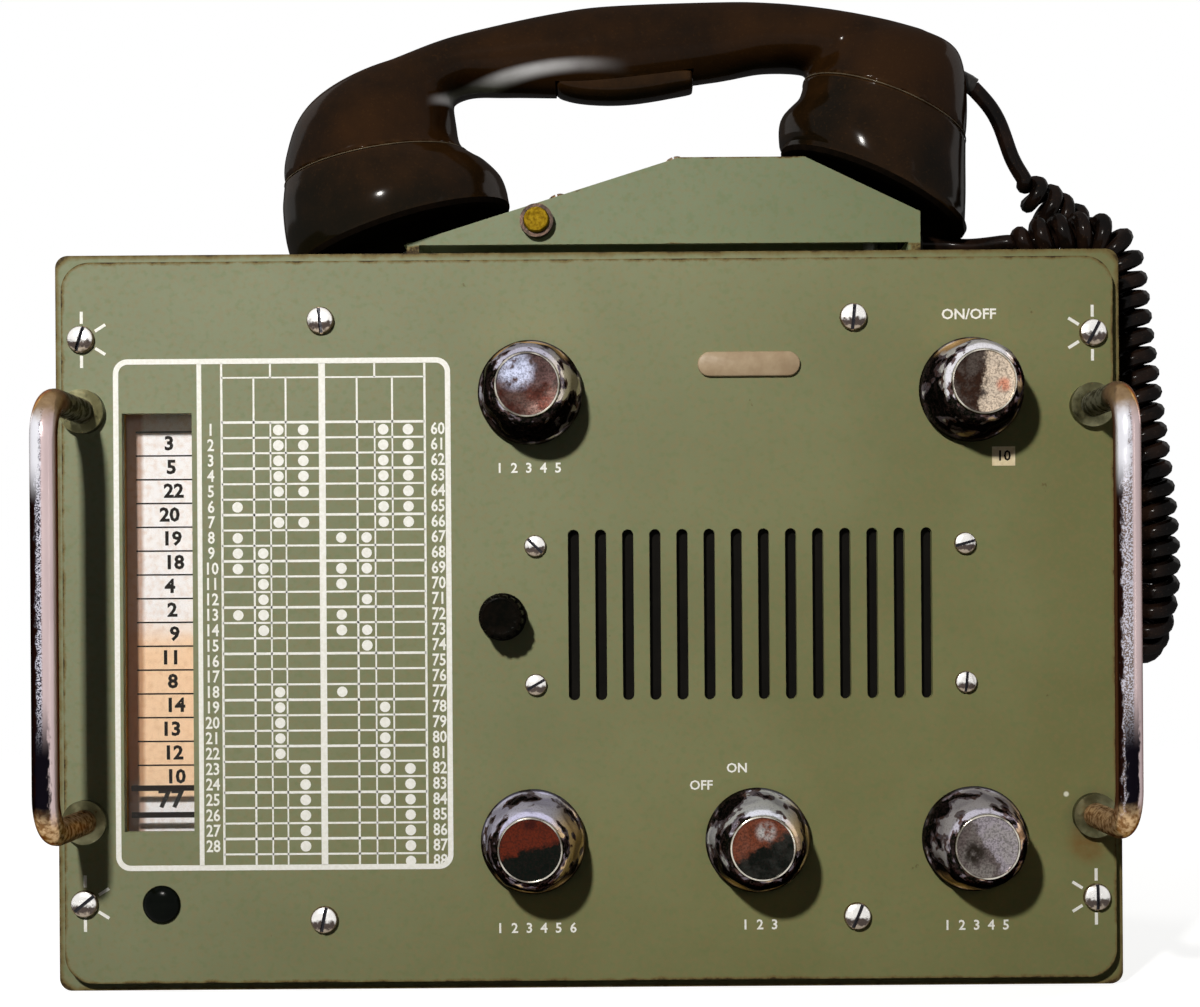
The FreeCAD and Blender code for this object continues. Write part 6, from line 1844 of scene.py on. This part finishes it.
@dataclass
class Controls:
    """The five chrome knobs, the small black knob, their spindles and bushes."""

    upper: float = 0.1895
    lower: float = 0.0475
    columns: tuple[float, float, float] = (-0.018, 0.053, 0.1215)

    def knobs(self) -> list[Knob]:
        """The five chrome knobs, each with its own painted reflections and scuffs.

        Returns:
            The knobs. A row holds the name, the place, the face's painted reflection tones above and below,
            its scuffs, the turn, the slant of the line between the tones, the face's painted glint, and the
            flank's painted reflection tones and lean.
        """
        left, middle, right = self.columns
        # Face tones, glints and flank tones in these rows are painted reflections.
        spots = (
            ("dimmer", (left, self.upper), tone(84, 62, 60), tone(66, 32, 24), 0.12, 0.1, (0.1, 1.0),
             ((-3.5 * MM, 4.5 * MM), tone(206, 212, 240), 7.5 * MM),
             (tone(190, 188, 206), tone(244, 232, 218), 0.02)),
            ("on_off", (right, self.upper), tone(226, 206, 184), tone(52, 32, 22), 0.2, 0.35, (1.0, -0.12),
             ((6 * MM, -1 * MM), tone(214, 146, 120), 3 * MM),
             (tone(236, 234, 240), tone(176, 150, 120), -0.02)),
            ("channel", (left, self.lower), tone(92, 34, 18), tone(3, 10, 5), 0.0, 0.2, (-0.3, 1.0),
             ((0.0, 8 * MM), tone(60, 20, 14), 3 * MM),
             (tone(206, 204, 232), tone(240, 206, 160), 0.0)),
            ("function", (middle, self.lower), tone(112, 58, 38), tone(3, 10, 5), 0.06, 0.5, (-0.55, 1.0),
             ((1 * MM, 5 * MM), tone(176, 172, 170), 4 * MM),
             (tone(226, 228, 240), tone(244, 214, 176), 0.03)),
            ("volume", (right, self.lower), tone(158, 150, 158), tone(96, 86, 84), 0.5, 0.3, (1.0, 0.6),
             ((-4 * MM, -2 * MM), tone(40, 34, 28), 5 * MM),
             (tone(196, 192, 206), tone(226, 192, 160), 0.0)),
        )
        return [
            Knob(
                f"{name}_control", f"{name}_knob", name, spot,
                DishedFace(f"{name}_dish", spot, above, below, scuffs, slant, *glint),
                KnobPlating(
                    f"{name}_plating", spot, 3.0 * turn + index, *flank,
                    1.0 if spot[1] == self.upper else -1.0,
                ),
                turn=turn,
            )
            for index, (name, spot, above, below, scuffs, turn, slant, glint, flank) in enumerate(spots)
        ]

    def small_knob(self, spot: Pair = (-0.0273, 0.1186)) -> None:
        """The small black knob with fine fluting and a domed top."""
        radius, height = 7.5 * MM, 13 * MM
        skirt = ((0.6, 0.8), (0.0, 1.1), (0.0, 2.3), (0.5, 2.8), (0.6, 7.0))
        top = ((0.7, 1.2), (1.1, 0.35), (2.0, 0.05), (2.6, 0.3), (7.3, 0.3))

        def flute(angle: float, level: float) -> float:
            """The depth of the fine flutes."""
            if level < 2.6 * MM or level > height - 0.2 * MM:
                return 0.0
            fade = min(1.0, (height - 0.05 * MM - level) / (0.35 * MM)) if level > height - 0.4 * MM else 1.0
            return 0.95 * MM * max(0.0, math.cos(16 * angle)) ** 1.5 * max(0.0, fade)

        profile = flowing(
            [(radius - inset * MM, level * MM) for inset, level in skirt]
            + [(radius - inset * MM, height - drop * MM) for inset, drop in top], 3,
        )
        shape = Shape()
        shape.loft(turned_rings([tuple(row) for row in profile], spot, 192, flute))
        made = shape.object("small_control", [Stock.SMALL_KNOB], 40.0)
        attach(made, "squelch")
        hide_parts("squelch_knob")

    def build(self) -> None:
        """Make all knobs and finish what they turn."""
        for knob in self.knobs():
            knob.build()
        self.small_knob()
        names = ("dimmer", "on_off", "function", "volume", "squelch", "channel")
        dress(Stock.STEEL, *(name + "_spindle" for name in names), "bush_nuts", "potentiometers")
        dress(Stock.PHENOLIC, "channel_switch", "rotary_switches")


# ---- the front


@dataclass
class FrontPrint:
    """The white printed table, the rays round the corner screws and the plain marks by the controls."""

    lift: float = 0.00006
    left: float = -0.1506
    right: float = -0.0435
    low: float = 0.0387
    high: float = 0.2012
    first_row: float = 0.17844
    pitch: float = 0.004897
    rows: int = 29
    bold_rules: tuple[Pair, ...] = ((-0.1233, 1.5), (-0.0843, 2.1), (-0.1162, 0.7), (-0.0517, 0.7))
    fine_rules: tuple[Pair, ...] = (
        (-0.1060, 0.65), (-0.1007, 0.5), (-0.09585, 0.5), (-0.0732, 0.65), (-0.0676, 0.5), (-0.0620, 0.5),
    )
    halves: tuple[Pair, ...] = ((-0.1162, -0.0854), (-0.0833, -0.0517))
    figure_size: float = 5.3 * MM
    scale_size: float = 4.4 * MM
    screw_spot: tuple[float, float, float] = (0.1605, 0.0285, 0.2075)
    left_dots: str = "cd cd cd cd cd a cd a ab ab b b ab b - - - c c c c c d d d d d d -"
    right_dots: str = "gh gh gh gh gh gh gh ef f ef e f e ef f - - e g g g g gh h gh h h h h"
    columns: dict[str, float] = field(default_factory=lambda: {
        "a": -0.1113, "b": -0.10325, "c": -0.0982, "d": -0.0903,
        "e": -0.07845, "f": -0.0704, "g": -0.0649, "h": -0.0570,
    })

    def line(self, across: float, up: float, width: float, height: float) -> Mark:
        """A printed line about its middle."""
        return Mark((across, PANEL_FRONT, up), (width, 2 * self.lift, height))

    def border(self) -> Piece:
        """The rounded frame round the table."""
        def outline(inset: float, corner: float) -> list[Pair]:
            """A rounded rectangle, inset from the frame's outer line."""
            out = []
            for x, z, start in ((1, 1, 0), (0, 1, 90), (0, 0, 180), (1, 0, 270)):
                cx = (self.right - inset - corner) if x else (self.left + inset + corner)
                cz = (self.high - inset - corner) if z else (self.low + inset + corner)
                for k in range(9):
                    a = math.radians(start + 90 * k / 8)
                    out.append((cx + corner * math.cos(a), cz + corner * math.sin(a)))
            return out
        outer, inner = outline(0.0, 4.6 * MM), outline(1.7 * MM, 3.0 * MM)
        rings = [
            [Vector((x, PANEL_FRONT + y, z)) for x, z in edge]
            for edge, y in (
                (outer, self.lift), (outer, -self.lift), (inner, -self.lift), (inner, self.lift),
                (outer, self.lift),
            )
        ]
        shape = Shape()
        shape.loft(rings, ends=False)
        return shape.object("table_border", [Stock.INK])

    def rules(self) -> list[Mark]:
        """The table's upright and level lines."""
        top, bottom = self.high - 1.6 * MM, self.low + 1.6 * MM
        head = self.first_row + self.pitch / 2
        middle, tall = (top + bottom) / 2, top - bottom
        marks = [self.line(across, middle, thick * MM, tall) for across, thick in self.bold_rules]
        body = head - bottom
        for across, thin in self.fine_rules:
            marks.append(self.line(across, bottom + body / 2, thin * MM, body))
        sub = self.high - 6.1 * MM
        for across in (-0.1060, -0.0958, -0.0732, -0.0620):
            marks.append(self.line(across, (head + sub) / 2, 0.6 * MM, sub - head))
        for across in (-0.1007, -0.0676):
            marks.append(self.line(across, (top + sub) / 2, 0.6 * MM, top - sub))
        for left, right in self.halves:
            marks.append(self.line((left + right) / 2, sub, right - left, 0.5 * MM))
            for row in range(self.rows):
                thick = 0.62 if row % 3 else 0.8
                marks.append(self.line((left + right) / 2, head - row * self.pitch, right - left, thick * MM))
        return marks

    def dots(self) -> list[Mark]:
        """The round marks in the table's cells."""
        marks = []
        for row, (left, right) in enumerate(zip(self.left_dots.split(), self.right_dots.split())):
            for letter in left + right:
                if letter in self.columns:
                    spot = (self.columns[letter], PANEL_FRONT, self.first_row - row * self.pitch)
                    marks.append(Mark(spot, (3.3 * MM, 2.2 * self.lift, 3.3 * MM)))
        return marks

    def figures(self) -> list[tuple[str, float, float, float]]:
        """Plain row numbers down both sides of the table."""
        texts = []
        for row in range(self.rows):
            height = self.first_row - row * self.pitch
            if row < 28:
                texts.append((str(row + 1), -0.1197, height, self.figure_size))
            texts.append((str(row + 60), -0.0476, height, self.figure_size))
        return texts

    def rays(self) -> list[Mark]:
        """Four printed rays round each corner screw."""
        marks = []
        across, low, high = self.screw_spot
        slope, reach = math.radians(32), 7.0 * MM
        size = (0.9 * MM, 2 * self.lift, 3.6 * MM)
        for x in (-across, across):
            inward = -math.copysign(1.0, x)
            for z in (low, high):
                for dx, dz, turn in (
                    (0.0, 1.0, 0.0), (0.0, -1.0, 0.0),
                    (inward * math.cos(slope), math.sin(slope), inward * (math.pi / 2 - slope)),
                    (inward * math.cos(slope), -math.sin(slope), -inward * (math.pi / 2 - slope)),
                ):
                    spot = (x + dx * reach, PANEL_FRONT, z + dz * reach)
                    marks.append(Mark(spot, size, (0.0, turn, 0.0)))
        return marks

    def scales(self) -> list[tuple[str, float, float, float]]:
        """Plain numbers below the knobs, and OFF and ON at the switch."""
        size, small = self.scale_size, 4.2 * MM
        return [
            ("1  2  3  4  5", -0.0187, 0.1657, size), ("1  2  3  4  5  6", -0.0172, 0.0196, size),
            ("1  2  3", 0.0537, 0.0202, size), ("1  2  3  4  5", 0.1225, 0.0196, size),
            ("OFF", 0.0353, 0.0646, small), ("ON", 0.0467, 0.0700, small),
        ]

    def build(self, repeater: Repeater, lettering: Lettering) -> None:
        """Print the panel."""
        ink = Stock.INK
        pieces = [
            self.border(),
            repeater.lay("table_lines", unit_block(), self.rules(), ink),
            repeater.lay("table_dots", unit_disc(), self.dots(), ink, unevenness=0.05, seed=3),
            repeater.lay("screw_rays", unit_block(), self.rays(), ink, unevenness=0.12, seed=5),
            lettering.write("dial_numbers", self.scales(), PANEL_FRONT, ink),
            lettering.write("table_figures", self.figures(), PANEL_FRONT, ink, narrow=0.86),
            lettering.write(
                "switch_lettering", [("ON/OFF", 0.1213, 0.2136, 4.6 * MM)], PANEL_FRONT, ink, narrow=1.04,
            ),
        ]
        for piece in pieces:
            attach(piece, "cabinet")


@dataclass
class ChannelWindow:
    """The recessed card with its plain numbers, the sliding cursor and the clear cover."""

    numbers: tuple[int, ...] = (3, 5, 22, 20, 19, 18, 4, 2, 9, 11, 8, 14, 13, 12, 10, 77)
    card_front: float = -0.0658
    top_cell: float = 0.1755
    pitch: float = 0.00773
    middle: float = -0.1368
    last_cell: float = 0.0598

    def build(self, repeater: Repeater, lettering: Lettering) -> None:
        """Print the card, mark the cursor and finish the cover."""
        dress(Stock.CARD, "channel_card")
        dress(Stock.LENS, "window_lens")
        dress(Stock.SLIDER, "cursor")
        dress(Stock.WALL, "window_tray")
        texts = [
            (str(number), -0.1362 + 0.0007 * (index % 3), self.top_cell - index * self.pitch, 6.2 * MM)
            for index, number in enumerate(self.numbers[:-1])
        ]
        texts.append((str(self.numbers[-1]), -0.1364, 0.0600, 8.0 * MM))
        figures = lettering.write(
            "card_figures", texts, self.card_front, Stock.BLACK_INK, narrow=1.05, weight=0.035,
        )
        size = (20.5 * MM, 0.12 * MM, 0.5 * MM)
        lines = [
            Mark((self.middle, self.card_front, self.top_cell - (index + 0.5) * self.pitch), size)
            for index in range(-1, 14)
        ]
        rules = repeater.lay("card_lines", unit_block(), lines, Stock.BLACK_INK)
        for piece in (figures, rules):
            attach(piece, "cabinet")
        low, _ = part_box("cursor")
        marks = [
            Mark((self.middle, low.y, self.last_cell + off * MM), (20.8 * MM, 0.2 * MM, 1.8 * MM))
            for off in (4.6, -4.0)
        ]
        hair = repeater.lay("cursor_lines", unit_block(), marks, Stock.BLACK_INK)
        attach(hair, "cursor")


@dataclass
class FrontTrim:
    """Screws, the raised blank plate, the spare-hole plug, the number label and the grille's cloth."""

    def build(self, repeater: Repeater, lettering: Lettering) -> None:
        """Make each fitting on the front."""
        self.screws(repeater)
        self.plate()
        self.plug()
        face = PANEL_FRONT - 0.18 * MM
        shape = Shape()
        shape.block((0.1284, face, 0.1655), (0.1357, PANEL_FRONT + 0.1 * MM, 0.1716))
        label = shape.object("number_label", [Stock.LABEL])
        texts = [("10", 0.13205, 0.16855, 4.6 * MM)]
        figure = lettering.write("label_figure", texts, face, Stock.BLACK_INK)
        for piece in (label, figure):
            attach(piece, "cabinet")
        dress(Stock.CLOTH, "speaker_cloth")

    def screws(self, repeater: Repeater) -> None:
        """The slotted screws of the panel and of the grille."""
        large = [
            Mark((x, PANEL_FRONT, z), turn=(0.0, turn, 0.0))
            for x, z, turn in (
                (-0.1605, 0.0285, 0.9), (-0.1605, 0.2075, 0.3), (0.1605, 0.0285, 0.0), (0.1605, 0.2075, 0.5),
                (-0.0845, 0.023, 0.2), (-0.0845, 0.213, -0.1), (0.0845, 0.023, 0.4), (0.0845, 0.213, 0.1),
            )
        ]
        small = [
            Mark((0.0513 + dx * 0.0682, PANEL_FRONT, 0.119 + dz * 0.022), turn=(0.0, turn, 0.0))
            for dx, dz, turn in ((-1, -1, 1.05), (-1, 1, -0.8), (1, -1, 0.1), (1, 1, 1.3))
        ]
        for name, marks, radius, height, slot, node in (
            ("panel_fixings", large, 4.3 * MM, 2.6 * MM, 1.1 * MM, "panel_screws"),
            ("grille_fixings", small, 3.44 * MM, 2.2 * MM, 0.9 * MM, "grille_screws"),
        ):
            made = repeater.lay(name, screw_head(radius, height, slot), marks, Stock.SCREW, sharp=30.0)
            on_heads(made, marks, radius, height)
            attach(made, "cabinet")
            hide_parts(node)

    def plate(self) -> None:
        """The raised blank plate: a pill with a softened rim."""
        cx, cz, half, radius = 0.0513, 0.1983, 0.01625, 0.0039

        def pill(inset: float, out: float) -> list[Vector]:
            """The plate's outline, inset and raised."""
            r = radius - inset
            points = []
            for side, start in ((1, -90), (-1, 90)):
                for k in range(13):
                    a = math.radians(start + 180 * k / 12)
                    x = cx + side * (half - radius) + r * math.cos(a)
                    points.append(Vector((x, PANEL_FRONT - out, cz + r * math.sin(a))))
            return points

        shape = Shape()
        rim = ((0.0, 0.0), (0.0, 1.1), (0.12, 1.35), (0.4, 1.5))
        shape.loft([pill(inset * MM, out * MM) for inset, out in rim])
        made = shape.object("blank_plate", [Stock.PILL], 50.0)
        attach(made, "cabinet")
        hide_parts("nameplate")

    def plug(self) -> None:
        """The glossy domed plug in the spare hole."""
        radius, edge, dome = 6.0 * MM, 0.6 * MM, 2.4 * MM
        profile = [(radius - 0.2 * MM, 0.0), (radius, 0.15 * MM), (radius, 0.5 * MM)]
        profile += [
            (radius * math.cos(t) * 0.985, edge + dome * math.sin(t))
            for t in (0.2, 0.5, 0.8, 1.1, 1.35, 1.52)
        ]
        shape = Shape()
        shape.loft(turned_rings(profile, (-0.1362, 0.0281), 56))
        made = shape.object("spare_hole_plug", [Stock.GLOSS], 60.0)
        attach(made, "cabinet")
        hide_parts("hole_plug")


# ---- the case


@dataclass
class Cradle:
    """The folded bracket that the handset lies on, its release button and its small screws."""

    button: tuple[Pair, ...] = (
        (2.4, -3.0), (2.4, 0.0), (4.15, 0.0), (4.25, 0.4), (4.1, 1.5), (3.7, 2.0), (2.9, 2.2), (2.5, 2.05),
        (1.2, 2.0), (0.1, 2.0),
    )
    button_height: float = 2.2 * MM

    def build(self, repeater: Repeater) -> None:
        """Finish the bracket and make the button and the screws."""
        dress(Stock.CRADLE, "cradle_bracket")
        dress(Stock.RING, "catch_ring")
        dress(Stock.GLOSS, "hook_switch")
        dress(Stock.STEEL, "hook_plunger")
        low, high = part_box("catch_button")
        middle = ((low.x + high.x) / 2, (low.z + high.z) / 2)

        def knurl(angle: float, level: float) -> float:
            """Fine ribs round the button's edge."""
            return 0.12 * MM * (0.5 + 0.5 * math.cos(36 * angle)) if level < 1.7 * MM else 0.0

        profile = [(radius * MM, level * MM) for radius, level in self.button]
        shape = Shape()
        shape.loft(turned_rings(profile, middle, 72, knurl, low.y + self.button_height))
        button = shape.object("release_button", [Stock.BRASS], 35.0)
        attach(button, "catch")
        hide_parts("catch_button")
        self.slope_screws(repeater)

    def slope_screws(self, repeater: Repeater) -> None:
        """The two small screws on the bracket's slope, where their heads are."""
        low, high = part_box("cradle_screws")
        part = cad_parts["cradle_screws"]
        groups: tuple[list[Vector], list[Vector]] = ([], [])
        middle = (low.x + high.x) / 2
        for vertex in part.data.vertices:
            groups[vertex.co.x > middle].append(vertex.co)
        left, right = (max(group, key=lambda point: point.z) for group in groups)
        slope = math.atan2(right.z - left.z, right.x - left.x)
        marks = []
        for group in groups:
            top = max(point.z for point in group)
            crown = [point for point in group if point.z > top - 3.5 * MM]
            x, y = (
                (min(point[axis] for point in crown) + max(point[axis] for point in crown)) / 2
                for axis in (0, 1)
            )
            foot = (x + math.sin(slope) * 1.4 * MM, y, top - 2.9 * MM)
            marks.append(Mark(foot, turn=(-math.pi / 2, 0.0, 0.0)))
        head = screw_head(2.8 * MM, 2.0 * MM, 0.7 * MM, -slope)
        made = repeater.lay("slope_fixings", head, marks, Stock.RUSTY)
        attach(made, "cabinet")
        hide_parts("cradle_screws")


@dataclass
class Case:
    """The painted case with its panel, handles and everything behind it."""

    def build(self) -> None:
        """Finish the carried-over parts."""
        for stock, nodes in (
            (Stock.CASE, "cabinet_shell"),
            (Stock.PANEL, "front_panel"),
            (Stock.RUBBER, "panel_gasket"),
            (Stock.LEFT_HANDLE, "left_handle"),
            (Stock.RIGHT_HANDLE, "right_handle"),
            (Stock.COLLAR, "handle_collars"),
            (Stock.STEEL, "handle_bolts speaker_frame speaker_magnet power_terminals aerial_socket"),
            (Stock.DRUM_CARD, "dial_cord speaker_cone drive_drum lower_pulley top_pulley"),
            (Stock.ALUMINIUM, "chassis radio_unit"),
            (Stock.ANODISED, "heat_sink"),
            (Stock.PHENOLIC, "main_board"),
        ):
            dress(stock, *nodes.split())


def main() -> None:
    """Build every sub-assembly in order and report each."""
    Studio().build()
    log.info("studio ready")
    CurlyCord().build()
    log.info("curly cord done")
    repeater, lettering = Repeater(), Lettering()
    Case().build()
    log.info("case finished")
    Handset().build(repeater)
    log.info("handset done")
    Controls().build()
    log.info("controls done")
    FrontPrint().build(repeater, lettering)
    ChannelWindow().build(repeater, lettering)
    FrontTrim().build(repeater, lettering)
    log.info("front done")
    Cradle().build(repeater)
    log.info("cradle done")
    boxes = {"cad": CAD_BOX, "visual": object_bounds()}
    {name: [[float(n) for n in corner] for corner in box] for name, box in boxes.items()}


if __name__ == "__main__":
    logging.basicConfig(level=logging.INFO, format="%(name)s: %(message)s")
    main()
